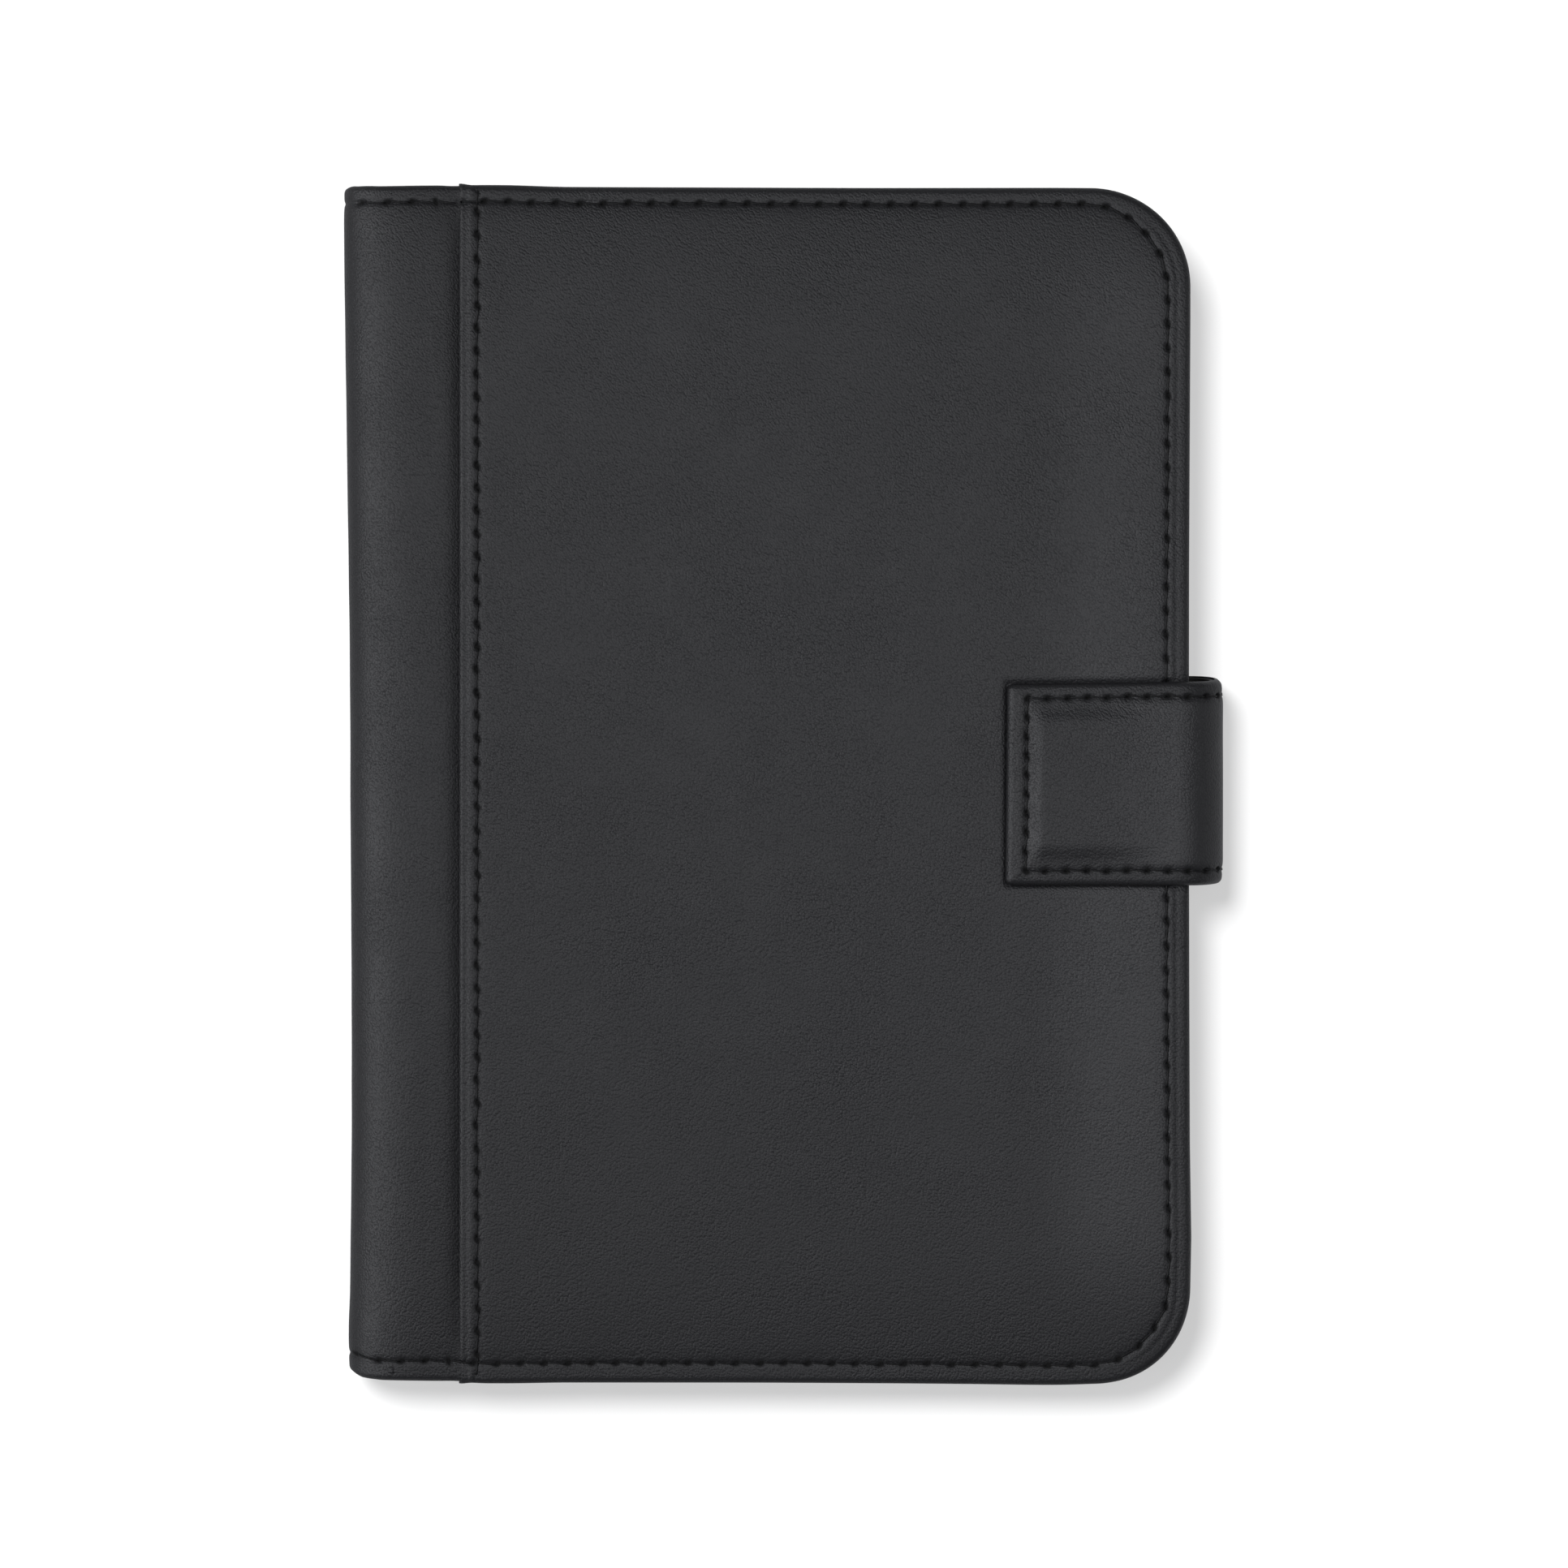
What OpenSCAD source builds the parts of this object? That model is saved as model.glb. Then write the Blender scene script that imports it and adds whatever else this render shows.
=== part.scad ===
// Notebook cover in leather, closed by a strap that wraps over the fore-edge.
// It lies on its back cover. +Z is up, +Y points to the head of the book and
// +X to the fore-edge. The origin is the centre of the footprint, strap included.

/* [Cover] */
// Width of the closed cover, spine to fore-edge
cover_w = 159; // [154:0.5:166]
// Height of the cover along the spine
cover_h = 226; // [218:1:240]
// Thickness of the closed cover, strap left out
closed_t = 17.4; // [17.4:0.1:20]
// Radius of the two corners at the fore-edge
corner_r = 18.5; // [12:0.5:24]
// Bevel where the leather turns over the board's edge
edge_bevel = 1.2; // [0.9:0.1:1.3]

/* [Layers] */
// Outer leather
leather_t = 0.9; // [0.8:0.05:0.95]
// Foam between leather and board
foam_t = 0.8; // [0.75:0.05:1]
// Stiff board in each cover
board_t = 1.4; // [1.2:0.1:1.5]
// Lining cloth
lining_t = 0.5; // [0.4:0.05:0.5]

/* [Spine] */
// Outer radius of the two folds at the spine
spine_r = 6.6; // [6.4:0.1:6.8]
// Distance from the spine to the lapped seam
seam_x = 21; // [19:0.5:24]
// Length of spine leather hidden under the panel
underlap = 5.4; // [4:0.1:6]

/* [Stitching] */
// Width of a line of thread
thread_w = 0.5; // [0.4:0.1:0.6]
// Depth of the groove that a line of thread lies in
thread_d = 0.4; // [0.3:0.05:0.45]
// Distance of the edge stitching from the cover's edge
edge_stitch = 3.7; // [3:0.1:4.5]
// Distance of the seam stitching from the lapped seam
seam_stitch = 2.8; // [2:0.1:3.5]

/* [Strap] */
// Width of the strap along the fore-edge
strap_w = 38.7; // [30:0.5:45]
// Length of the tab that lies on the front cover
strap_reach = 34.3; // [30:0.5:40]
// How far the strap stands out past the fore-edge
strap_out = 6.4; // [6.2:0.1:7]
// Outer leather of the strap
strap_leather_t = 1.2; // [1:0.1:1.2]
// Lining of the strap
strap_lining_t = 1; // [0.9:0.1:1]
// Outer radius of the strap's upper bend
strap_top_r = 8.3; // [8:0.1:8.4]
// Distance of the strap's stitching from its edge
strap_stitch = 2.8; // [2.2:0.1:3.4]

/* [Closure] */
// Length of the magnet along the fore-edge
magnet_l = 25; // [16:0.5:26]
// Width of the magnet
magnet_w = 13.5; // [10:0.5:15]
// Thickness of the magnet
magnet_t = 1; // [0.8:0.1:1]

/* [Notebook] */
// Height of the page block
page_h = 210; // [200:1:210]
// Width of the page block
page_w = 148; // [140:1:148]
// Thickness of the page block
page_t = 6.5; // [5:0.1:6.5]

/* [Hidden] */
$fn = 96;

half_h = cover_h / 2;
slab_t = leather_t + foam_t + board_t + lining_t;   // one cover
inset = leather_t + 0.2;                            // inner layers, from the edge
board_x = 10;                                       // where the boards start
lap_x = seam_x - 0.4;                               // end of the visible spine leather
lap_end = seam_x + underlap;                        // end of the hidden spine leather
strap_t = strap_leather_t + strap_lining_t;
tab_gap = 0.3;
tab_z = closed_t + tab_gap;                         // underside of the tab
tab_top = tab_z + strap_t;
fold_gap = 0.3;                                     // gap between halves of a fold
fold_a = fold_gap / 2 / spine_r * 180 / PI;

// Lower bend of the strap
low_r = 5.3 + strap_t / 2;
low_cx = cover_w + strap_out - low_r;
low_cz = leather_t + low_r;
low_a = 3;
// Upper bend of the strap
top_cx = cover_w + strap_out - strap_top_r;
top_cz = tab_top - strap_top_r;
top_a = 1.2;
tab_x = cover_w - strap_reach;                      // tip of the tab
thread_y = strap_w / 2 - strap_stitch;
magnet_x = 137.4;

page_x = 6.5;
card_z = slab_t + 0.1;
sleeve_z = card_z + 0.6;
page_z = sleeve_z + 0.6;
pocket_x = 52;

black = [0.07, 0.07, 0.075];
cloth = [0.13, 0.13, 0.14];
thread = [0.03, 0.03, 0.03];
card = [0.5, 0.42, 0.32];
steel = [0.7, 0.7, 0.72];
paper = [0.93, 0.91, 0.85];

// Moves the spine-based frame to the centre of the footprint
module place() translate([-(cover_w + strap_out) / 2, 0, 0]) children();

// Turns a layer of the back cover into the same layer of the front cover
module flip() translate([0, 0, closed_t]) mirror([0, 0, 1]) children();

// Prism along Y of a profile drawn in X and Z
module along_y(len) rotate([90, 0, 0]) linear_extrude(len, center = true) children();

// Part of a ring around Y: angles run from +X towards +Z
module bend(cx, cz, r1, r2, a0, a1, w)
    translate([cx, 0, cz]) rotate([-90, 0, 0]) rotate([0, 0, -a1])
        rotate_extrude(angle = a1 - a0)
            translate([r1, -w / 2]) square([r2 - r1, w]);

// Block given by its two corners
module block(a, b) translate(a) cube(b - a);

// Outline of a cover from x0 to the fore-edge, moved in by d
module outline(x0, d) {
    r = corner_r - d;
    w = cover_w - d;
    h = half_h - d;
    translate([x0, -h]) square([w - r - x0, 2 * h]);
    translate([w - 2 * r, -(h - r)]) square([2 * r, 2 * (h - r)]);
    for (s = [-1, 1]) translate([w - r, s * (h - r)]) circle(r);
}

module layer(x0, d, z0, z1) translate([0, 0, z0]) linear_extrude(z1 - z0) outline(x0, d);

// Line of thread at distance d from the edge, from x0 to the fore-edge
module edge_line(x0, d, z0, z1)
    difference() {
        layer(x0, d - thread_w / 2, z0, z1);
        layer(x0 - 1, d + thread_w / 2, z0 - 1, z1 + 1);
    }

// Bevel along head and tail, for x0 to x1
module end_bevel(x0, x1)
    for (s = [0, 1]) mirror([0, s, 0])
        translate([x0, 0, 0]) rotate([90, 0, 90]) linear_extrude(x1 - x0)
            polygon([[half_h - edge_bevel - 1, -1], [half_h + 1, edge_bevel + 1], [half_h + 1, -1]]);

// Bevel all round a panel
module rim_bevel() {
    end_bevel(0, cover_w - corner_r);
    along_y(cover_h - 2 * corner_r)
        polygon([[cover_w - edge_bevel - 1, -1], [cover_w + 1, edge_bevel + 1], [cover_w + 1, -1]]);
    for (s = [0, 1]) mirror([0, s, 0])
        translate([cover_w - corner_r, half_h - corner_r, 0]) rotate_extrude(angle = 90)
            polygon([[corner_r - edge_bevel - 1, -1], [corner_r + 1, edge_bevel + 1], [corner_r + 1, -1]]);
}

// ---- layers that both covers have, drawn for the back cover ----

// Leather panel turned over the board's edge, with its stitch grooves
module panel_leather() difference() {
    layer(seam_x, 0, 0, slab_t);
    layer(seam_x - 1, leather_t, leather_t, slab_t + 1);
    rim_bevel();
    edge_line(seam_x - 1, edge_stitch, -1, thread_d);
    block([seam_x + seam_stitch - thread_w / 2, -half_h + edge_stitch + 1, -1],
          [seam_x + seam_stitch + thread_w / 2, half_h - edge_stitch - 1, thread_d]);
}

// Spine leather on a cover, with the edge that is hidden under the panel
module spine_flap() difference() {
    union() {
        bend(spine_r, spine_r, spine_r - leather_t, spine_r, 225 + fold_a, 270, cover_h);
        block([spine_r, -half_h, 0], [lap_x, half_h, leather_t]);
        block([lap_x - 1, -half_h + inset, 0.2], [lap_x, half_h - inset, leather_t + foam_t]);
        block([lap_x - 1, -half_h + inset, leather_t], [lap_end, half_h - inset, leather_t + foam_t]);
        for (s = [-1, 1])
            translate([board_x, s * (half_h - leather_t / 2) - leather_t / 2, 0])
                cube([lap_x - board_x, leather_t, slab_t]);
    }
    end_bevel(-1, lap_x + 1);
    edge_line(spine_r, edge_stitch, -1, thread_d);
}

module foam_pad() difference() {
    layer(board_x, inset, leather_t, leather_t + foam_t);
    block([lap_x - 1, -half_h, 0], [lap_end, half_h, slab_t]);
}

module board() layer(board_x, inset, leather_t + foam_t, slab_t - lining_t);

// Lining: it is glued to the spine leather, then steps over the board's edge
module cover_lining() {
    step = 0.5;
    bend(spine_r, spine_r, spine_r - leather_t - lining_t, spine_r - leather_t,
         225 + fold_a, 270, cover_h - 2 * inset);
    block([spine_r, -half_h + inset, leather_t],
          [board_x - 0.1, half_h - inset, leather_t + lining_t]);
    block([board_x - 0.1 - step, -half_h + inset, leather_t],
          [board_x - 0.1, half_h - inset, slab_t]);
    layer(board_x - 0.1 - step, inset, slab_t - lining_t, slab_t);
}

module cover_edge_thread() edge_line(spine_r + 0.5, edge_stitch, 0.05, thread_d);

module cover_seam_thread()
    block([seam_x + seam_stitch - thread_w / 2, -half_h + edge_stitch + 1, 0.05],
          [seam_x + seam_stitch + thread_w / 2, half_h - edge_stitch - 1, thread_d]);

// Space that the strap's tongue takes in the back cover
module strap_slot()
    block([cover_w - 20, -strap_w / 2 - 0.1, leather_t],
          [cover_w + 1, strap_w / 2 + 0.1, slab_t - lining_t]);

// ---- back cover ----

module back_leather() color(black) place() difference() { panel_leather(); strap_slot(); }
module back_spine_flap() color(black) place() spine_flap();
module back_foam() color("dimgray") place() difference() { foam_pad(); strap_slot(); }
module back_board() color(card) place() difference() { board(); strap_slot(); }
module back_lining() color(cloth) place() cover_lining();
module back_edge_thread() color(thread) place() cover_edge_thread();
module back_seam_thread() color(thread) place() cover_seam_thread();

// Panel that the notebook's back card slides under, sewn down on three sides
module back_sleeve() color(black) place() {
    x0 = cover_w - 57;
    layer(x0, inset, sleeve_z, sleeve_z + 0.5);
    difference() {
        layer(x0, inset, slab_t, sleeve_z + 0.5);
        block([x0 - 1, -page_h / 2 - 1, 0], [page_x + page_w + 1, page_h / 2 + 1, closed_t]);
    }
}

// Tongue in the cover and first half of the lower bend, from depth d0 to d1
module strap_anchor(d0, d1) along_y(strap_w) intersection() {
    difference() {
        union() {
            translate([low_cx, low_cz]) circle(low_r - d0);
            translate([cover_w - 19.5, low_cz - low_r + d0])
                square([low_cx - cover_w + 19.5, low_r - d0]);
        }
        translate([low_cx, low_cz]) circle(low_r - d1);
        translate([cover_w - 21, low_cz - low_r + d1]) square([low_cx - cover_w + 21, low_r + 1]);
    }
    polygon([[low_cx, low_cz],
             [low_cx + 20 * cos(315 - low_a), low_cz + 20 * sin(315 - low_a)],
             [cover_w - 30, -20], [cover_w - 30, low_cz]]);
}

module strap_anchor_leather() color(black) place() strap_anchor(0, strap_leather_t);
module strap_anchor_lining() color(cloth) place() strap_anchor(strap_leather_t, strap_t);

// ---- notebook refill ----

module sheet_plan(r) {
    w = page_w;
    h = page_h / 2;
    translate([page_x, -h]) square([w - r, 2 * h]);
    translate([page_x + w - 2 * r, -h + r]) square([2 * r, 2 * (h - r)]);
    for (s = [-1, 1]) translate([page_x + w - r, s * (h - r)]) circle(r);
}

module refill_pages() color(paper) place()
    translate([0, 0, page_z]) linear_extrude(page_t) sheet_plan(6);

module refill_card() color(card) place()
    translate([0, 0, card_z]) linear_extrude(0.5) sheet_plan(6);

// Cloth tape over the glued spine of the page block
module refill_binding() color(black) place() {
    block([page_x - 0.3, -page_h / 2, card_z], [page_x, page_h / 2, page_z + page_t + 0.15]);
    block([page_x - 0.3, -page_h / 2, page_z + page_t],
          [page_x + 14, page_h / 2, page_z + page_t + 0.15]);
}

// ---- spine ----

// Outline of the spine at depth d
module spine_round(d) {
    for (z = [spine_r, closed_t - spine_r]) translate([spine_r, z]) circle(spine_r - d);
    translate([d, spine_r]) square([2 * (spine_r - d), closed_t - 2 * spine_r]);
}

// Skin of the spine from depth d0 to d1, between its two folds
module spine_band(d0, d1, w) along_y(w) intersection() {
    difference() {
        spine_round(d0);
        spine_round(d1);
    }
    polygon([[spine_r, spine_r],
             [spine_r + 20 * cos(225 - fold_a), spine_r + 20 * sin(225 - fold_a)],
             [spine_r + 20 * cos(135 + fold_a), closed_t - spine_r + 20 * sin(135 + fold_a)],
             [spine_r, closed_t - spine_r]]);
}

// Lines of thread across the spine at head and tail
module spine_lines(d0, d1)
    for (s = [-1, 1]) translate([0, s * (half_h - edge_stitch), 0]) spine_band(d0, d1, thread_w);

module spine_leather() color(black) place() difference() {
    spine_band(0, leather_t, cover_h);
    spine_lines(-1, thread_d);
}

// Lining, passing over the stiffener
module spine_lining() color(cloth) place() {
    y = half_h - inset;
    x = leather_t;
    difference() {
        union() {
            spine_band(x, x + lining_t, 2 * y);
            block([x + 0.2, -y, spine_r], [x + lining_t + 0.8, y, closed_t - spine_r]);
        }
        block([x - 1, -y - 1, spine_r + 0.5], [x + 0.8, y + 1, closed_t - spine_r - 0.5]);
    }
}

module spine_stiffener() color(card) place()
    block([leather_t, -half_h + 3, spine_r + 0.5],
          [leather_t + 0.8, half_h - 3, closed_t - spine_r - 0.5]);

module spine_thread() color(thread) place() spine_lines(0.05, thread_d);

// ---- front cover ----

module front_leather() color(black) place() flip() panel_leather();
module front_spine_flap() color(black) place() flip() spine_flap();
module front_board() color(card) place() flip() board();
module front_lining() color(cloth) place() flip() cover_lining();
module front_edge_thread() color(thread) place() flip() cover_edge_thread();
module front_seam_thread() color(thread) place() flip() cover_seam_thread();

// Steel plate under the leather that the strap's magnet holds to
module plate_space(t)
    block([magnet_x - magnet_w / 2 - 0.5, -magnet_l / 2 - 0.5, leather_t],
          [magnet_x + magnet_w / 2 + 0.5, magnet_l / 2 + 0.5, leather_t + t]);

module closure_plate() color(steel) place() flip() plate_space(0.4);

module front_foam() color("dimgray") place() flip() difference() { foam_pad(); plate_space(0.4); }

// Full-height pocket, open towards the spine and sewn down on three sides
module front_pocket() color(black) place() flip() {
    layer(pocket_x, inset, slab_t + 0.1, slab_t + 0.6);
    difference() {
        layer(pocket_x, inset, slab_t, slab_t + 0.6);
        layer(pocket_x - 1, inset + 4, slab_t - 1, slab_t + 1);
    }
}

// One slot strip: n counts the layers below it, y1 is the height of its mouth
module card_slot(n, y1) color(black) place() flip()
    block([pocket_x + 5.5, 30, slab_t + 0.6 + 0.5 * n],
          [pocket_x + 97.5, y1, slab_t + 1.1 + 0.5 * n]);

module card_slot_upper() card_slot(0, 75);
module card_slot_middle() card_slot(1, 59);
module card_slot_lower() card_slot(2, 43);

// ---- strap ----

// Side of the strap between its two bends, from depth d0 to depth d1 of its thickness
module strap_side(d0, d1, w) {
    bend(low_cx, low_cz, low_r - d1, low_r - d0, 315 + low_a, 360, w);
    block([cover_w + strap_out - d1, -w / 2, low_cz - 0.01],
          [cover_w + strap_out - d0, w / 2, top_cz + 0.01]);
    bend(top_cx, top_cz, strap_top_r - d1, strap_top_r - d0, 0, 45 - top_a, w);
}

module side_lines(d0, d1)
    for (s = [-1, 1]) translate([0, s * thread_y, 0]) strap_side(d0, d1, thread_w);

module strap_side_leather() color(black) place() difference() {
    strap_side(0, strap_leather_t, strap_w);
    side_lines(-1, thread_d);
}
module strap_side_lining() color(cloth) place() strap_side(strap_leather_t, strap_t, strap_w);
module strap_side_thread() color(thread) place() side_lines(0.05, thread_d);

// Tab on the front cover with the second half of the upper bend
module strap_tab(d0, d1, w, x0) {
    bend(top_cx, top_cz, strap_top_r - d1, strap_top_r - d0, 45 + top_a, 90, w);
    block([x0, -w / 2, tab_top - d1], [top_cx + 0.01, w / 2, tab_top - d0]);
}

module tab_lines(d0, d1) {
    for (s = [-1, 1]) translate([0, s * thread_y, 0])
        strap_tab(d0, d1, thread_w, tab_x + strap_stitch);
    block([tab_x + strap_stitch - thread_w / 2, -thread_y - thread_w / 2, tab_top - d1],
          [tab_x + strap_stitch + thread_w / 2, thread_y + thread_w / 2, tab_top - d0]);
}

module magnet_space()
    block([magnet_x - magnet_w / 2, -magnet_l / 2, tab_z + strap_lining_t - magnet_t / 2],
          [magnet_x + magnet_w / 2, magnet_l / 2, tab_z + strap_lining_t + magnet_t / 2]);

module strap_tab_leather() color(black) place() difference() {
    strap_tab(0, strap_leather_t, strap_w, tab_x);
    tab_lines(-1, thread_d);
    magnet_space();
}
module strap_tab_lining() color(cloth) place() difference() {
    strap_tab(strap_leather_t, strap_t, strap_w, tab_x);
    magnet_space();
}
module strap_tab_thread() color(thread) place() tab_lines(0.05, thread_d);
module tab_magnet() color(steel) place() magnet_space();

back_leather();
back_spine_flap();
back_foam();
back_board();
back_lining();
back_sleeve();
back_edge_thread();
back_seam_thread();
strap_anchor_leather();
strap_anchor_lining();
refill_pages();
refill_card();
refill_binding();
spine_leather();
spine_lining();
spine_stiffener();
spine_thread();
front_leather();
front_spine_flap();
front_foam();
front_board();
front_lining();
closure_plate();
front_pocket();
card_slot_upper();
card_slot_middle();
card_slot_lower();
front_edge_thread();
front_seam_thread();
strap_side_leather();
strap_side_lining();
strap_side_thread();
strap_tab_leather();
strap_tab_lining();
strap_tab_thread();
tab_magnet();
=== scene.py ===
import math

import bmesh
import bpy
import numpy as np
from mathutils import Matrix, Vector


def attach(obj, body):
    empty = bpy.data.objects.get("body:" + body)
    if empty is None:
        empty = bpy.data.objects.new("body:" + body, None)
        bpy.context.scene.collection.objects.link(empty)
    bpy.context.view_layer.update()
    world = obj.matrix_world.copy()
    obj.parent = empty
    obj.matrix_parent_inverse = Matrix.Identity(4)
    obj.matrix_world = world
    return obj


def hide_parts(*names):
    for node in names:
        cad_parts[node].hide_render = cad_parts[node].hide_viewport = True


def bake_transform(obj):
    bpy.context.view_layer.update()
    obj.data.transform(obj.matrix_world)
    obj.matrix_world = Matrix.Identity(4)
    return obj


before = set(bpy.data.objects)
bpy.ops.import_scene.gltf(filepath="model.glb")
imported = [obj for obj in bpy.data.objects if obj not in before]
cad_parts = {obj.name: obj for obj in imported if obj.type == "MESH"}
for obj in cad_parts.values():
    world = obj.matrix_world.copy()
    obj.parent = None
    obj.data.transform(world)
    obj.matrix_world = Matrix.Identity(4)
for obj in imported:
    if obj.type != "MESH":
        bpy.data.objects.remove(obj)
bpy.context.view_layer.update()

# ------------------------------------------------------------------ sizes, in millimetres
# u runs from the spine's outer face to the fore-edge, y along the spine, z up. X = u - X0.
X0 = 82.7
T = 17.4            # closed cover
SLAB = 3.6          # one cover
W = 159.5           # fore-edge
YT, YB = 112.8, -113.1   # head and tail
RT, RB = 18.6, 17.4      # corner radii at head and tail
FOLD = 21.2         # folded edge of the panel, over the spine leather
SEAM = 24.7         # seam stitching
CREST = 14.0        # where the spine roll meets the flat
RNG = np.random.default_rng(7)


def smooth(a, b, x):
    t = np.clip((np.asarray(x, float) - a) / (b - a), 0, 1)
    return t * t * (3 - 2 * t)


def gauss(x, c, s):
    return np.exp(-((np.asarray(x, float) - c) / s) ** 2)


def pchip(x, xp, fp):
    """Smooth monotone curve through a few points."""
    x, xp, fp = np.asarray(x, float), np.asarray(xp, float), np.asarray(fp, float)
    h = np.diff(xp)
    s = np.diff(fp) / h
    m = np.zeros(len(xp))
    ok = s[1:] * s[:-1] > 0
    m[1:-1][ok] = 2 * s[1:][ok] * s[:-1][ok] / (s[1:][ok] + s[:-1][ok])
    m[0], m[-1] = s[0], s[-1]
    i = np.clip(np.searchsorted(xp, x) - 1, 0, len(h) - 1)
    t = np.clip((x - xp[i]) / h[i], 0, 1)
    return (fp[i] * (1 + 2 * t) * (1 - t) ** 2 + h[i] * m[i] * t * (1 - t) ** 2
            + fp[i + 1] * t * t * (3 - 2 * t) - h[i] * m[i + 1] * t * t * (1 - t))


def waves(seed, n, lo, hi, amp):
    """A smooth random height made of n waves of lo to hi mm, at most about amp high."""
    r = np.random.default_rng(seed)
    k = [(2 * math.pi / r.uniform(lo, hi), r.uniform(0, 2 * math.pi), r.uniform(0, 2 * math.pi))
         for _ in range(n)]

    def f(u, y):
        s = 0
        for q, a, p in k:
            s = s + np.sin(q * (np.cos(a) * u + np.sin(a) * y) + p)
        return amp * s / math.sqrt(n)
    return f


# ------------------------------------------------------------------ meshes
def to_m(v):
    v = np.asarray(v, float).reshape(-1, 3)
    return np.column_stack([(v[:, 0] - X0), v[:, 1], v[:, 2]]) / 1000.0


def make(name, verts, faces, smooth_shade=True, mask=None):
    me = bpy.data.meshes.new(name)
    me.from_pydata(to_m(verts).tolist(), [], [tuple(int(i) for i in f) for f in faces])
    me.validate()
    ob = bpy.data.objects.new(name, me)
    bpy.context.scene.collection.objects.link(ob)
    bm = bmesh.new()
    bm.from_mesh(me)
    bmesh.ops.recalc_face_normals(bm, faces=bm.faces)
    bm.to_mesh(me)
    bm.free()
    me.polygons.foreach_set("use_smooth", [smooth_shade] * len(me.polygons))
    if mask is not None:
        # one attribute for edge wear, the painted sheen and highlight bands, and painted shade in the stitch holes
        a = me.attributes.new("wear_and_painted_light", "FLOAT", "POINT")
        a.data.foreach_set("value", np.asarray(mask, np.float32))
    me.update()
    return ob


def grid_faces(nr, nc, off=0):
    i = np.arange(nr - 1)[:, None] * nc + np.arange(nc - 1)[None, :] + off
    return np.stack([i, i + 1, i + nc + 1, i + nc], -1).reshape(-1, 4)


def border(nr, nc):
    """Indices round a grid of nr rows and nc columns."""
    a = list(range(nc))
    a += [r * nc + nc - 1 for r in range(1, nr)]
    a += [(nr - 1) * nc + c for c in range(nc - 2, -1, -1)]
    a += [r * nc for r in range(nr - 2, 0, -1)]
    return a


def slab(name, outer, inner, mask=None):
    """Closed solid between two grids of the same shape."""
    nr, nc = outer.shape[:2]
    n = nr * nc
    v = np.concatenate([outer.reshape(-1, 3), inner.reshape(-1, 3)])
    f = [tuple(q) for q in grid_faces(nr, nc)]
    f += [tuple(q[::-1]) for q in grid_faces(nr, nc, n)]
    b = border(nr, nc)
    for k in range(len(b)):
        p, q = b[k], b[(k + 1) % len(b)]
        f.append((p, p + n, q + n, q))
    m = None if mask is None else np.concatenate([mask.ravel(), np.zeros(n)])
    return make(name, v, f, mask=m)


def plate(loop, z0, z1, soft=0.12, seg=3, wobble=None):
    """Flat plate with rounded rims: loop is its plan, (n, 2) anticlockwise."""
    loop = np.asarray(loop, float)
    t = np.roll(loop, -1, 0) - np.roll(loop, 1, 0)
    t /= np.maximum(np.linalg.norm(t, axis=1, keepdims=True), 1e-9)
    nrm = np.column_stack([t[:, 1], -t[:, 0]])
    low = [(soft * (1 - math.sin(math.pi / 2 * k / seg)), z0 + soft * (1 - math.cos(math.pi / 2 * k / seg)))
           for k in range(seg + 1)]
    high = [(d, z0 + z1 - z) for d, z in reversed(low)]
    v = []
    for d, z in low + high:
        p = loop - nrm * d
        v.append(np.column_stack([p, np.full(len(p), z)]))
    m = len(v)
    v = np.concatenate(v)
    if wobble is not None:
        v[:, 2] += wobble(v[:, 0], v[:, 1])
    n = len(loop)
    f = []
    for k in range(m - 1):
        for i in range(n):
            j = (i + 1) % n
            f.append((k * n + i, k * n + j, (k + 1) * n + j, (k + 1) * n + i))
    f.append(tuple(range(n))[::-1])
    f.append(tuple((m - 1) * n + i for i in range(n)))
    return v, f


def join(parts):
    v, f, off = [], [], 0
    for a, b in parts:
        a = np.asarray(a, float).reshape(-1, 3)
        v.append(a)
        f += [tuple(i + off for i in q) for q in b]
        off += len(a)
    return np.concatenate(v), f


def rect_loop(u0, u1, y0, y1, r=(0, 0, 0, 0), step=4.0, arc=8):
    """Rectangle with radii at (u0 y0), (u1 y0), (u1 y1), (u0 y1)."""
    pts = []
    cs = [(u0, y0, math.pi), (u1, y0, 1.5 * math.pi), (u1, y1, 0), (u0, y1, 0.5 * math.pi)]
    sx = [1, -1, -1, 1]
    sy = [1, 1, -1, -1]
    for k, (cu, cy, a0) in enumerate(cs):
        rr = max(r[k], 0.02)
        c = np.array([cu + sx[k] * rr, cy + sy[k] * rr])
        for q in range(arc + 1):
            a = a0 + math.pi / 2 * q / arc
            pts.append(c + rr * np.array([math.cos(a), math.sin(a)]))
    out = []
    for k in range(len(pts)):
        p, q = pts[k], pts[(k + 1) % len(pts)]
        n = max(1, int(np.linalg.norm(q - p) / step))
        for i in range(n):
            out.append(p + (q - p) * i / n)
    return np.array(out)


# ------------------------------------------------------------------ outline of a cover
def mid_y():
    return (YT + YB) / 2


def edge_dist(u, y):
    """Distance inward from the outline and the outward direction there."""
    u, y = np.asarray(u, float), np.asarray(y, float)
    up, dn, rt = YT - y, y - YB, W - u
    d = np.minimum(np.minimum(up, dn), rt)
    nx = (rt <= np.minimum(up, dn)).astype(float)
    ny = np.where(nx > 0, 0.0, np.where(up < dn, 1.0, -1.0))
    for s, cy, r in ((1, YT - RT, RT), (-1, YB + RB, RB)):
        du, dy = u - (W - r), y - cy
        k = (du > 0) & (s * dy > 0)
        l = np.maximum(np.hypot(du, dy), 1e-9)
        d = np.where(k, r - l, d)
        nx = np.where(k, du / l, nx)
        ny = np.where(k, dy / l, ny)
    return d, nx, ny


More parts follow.
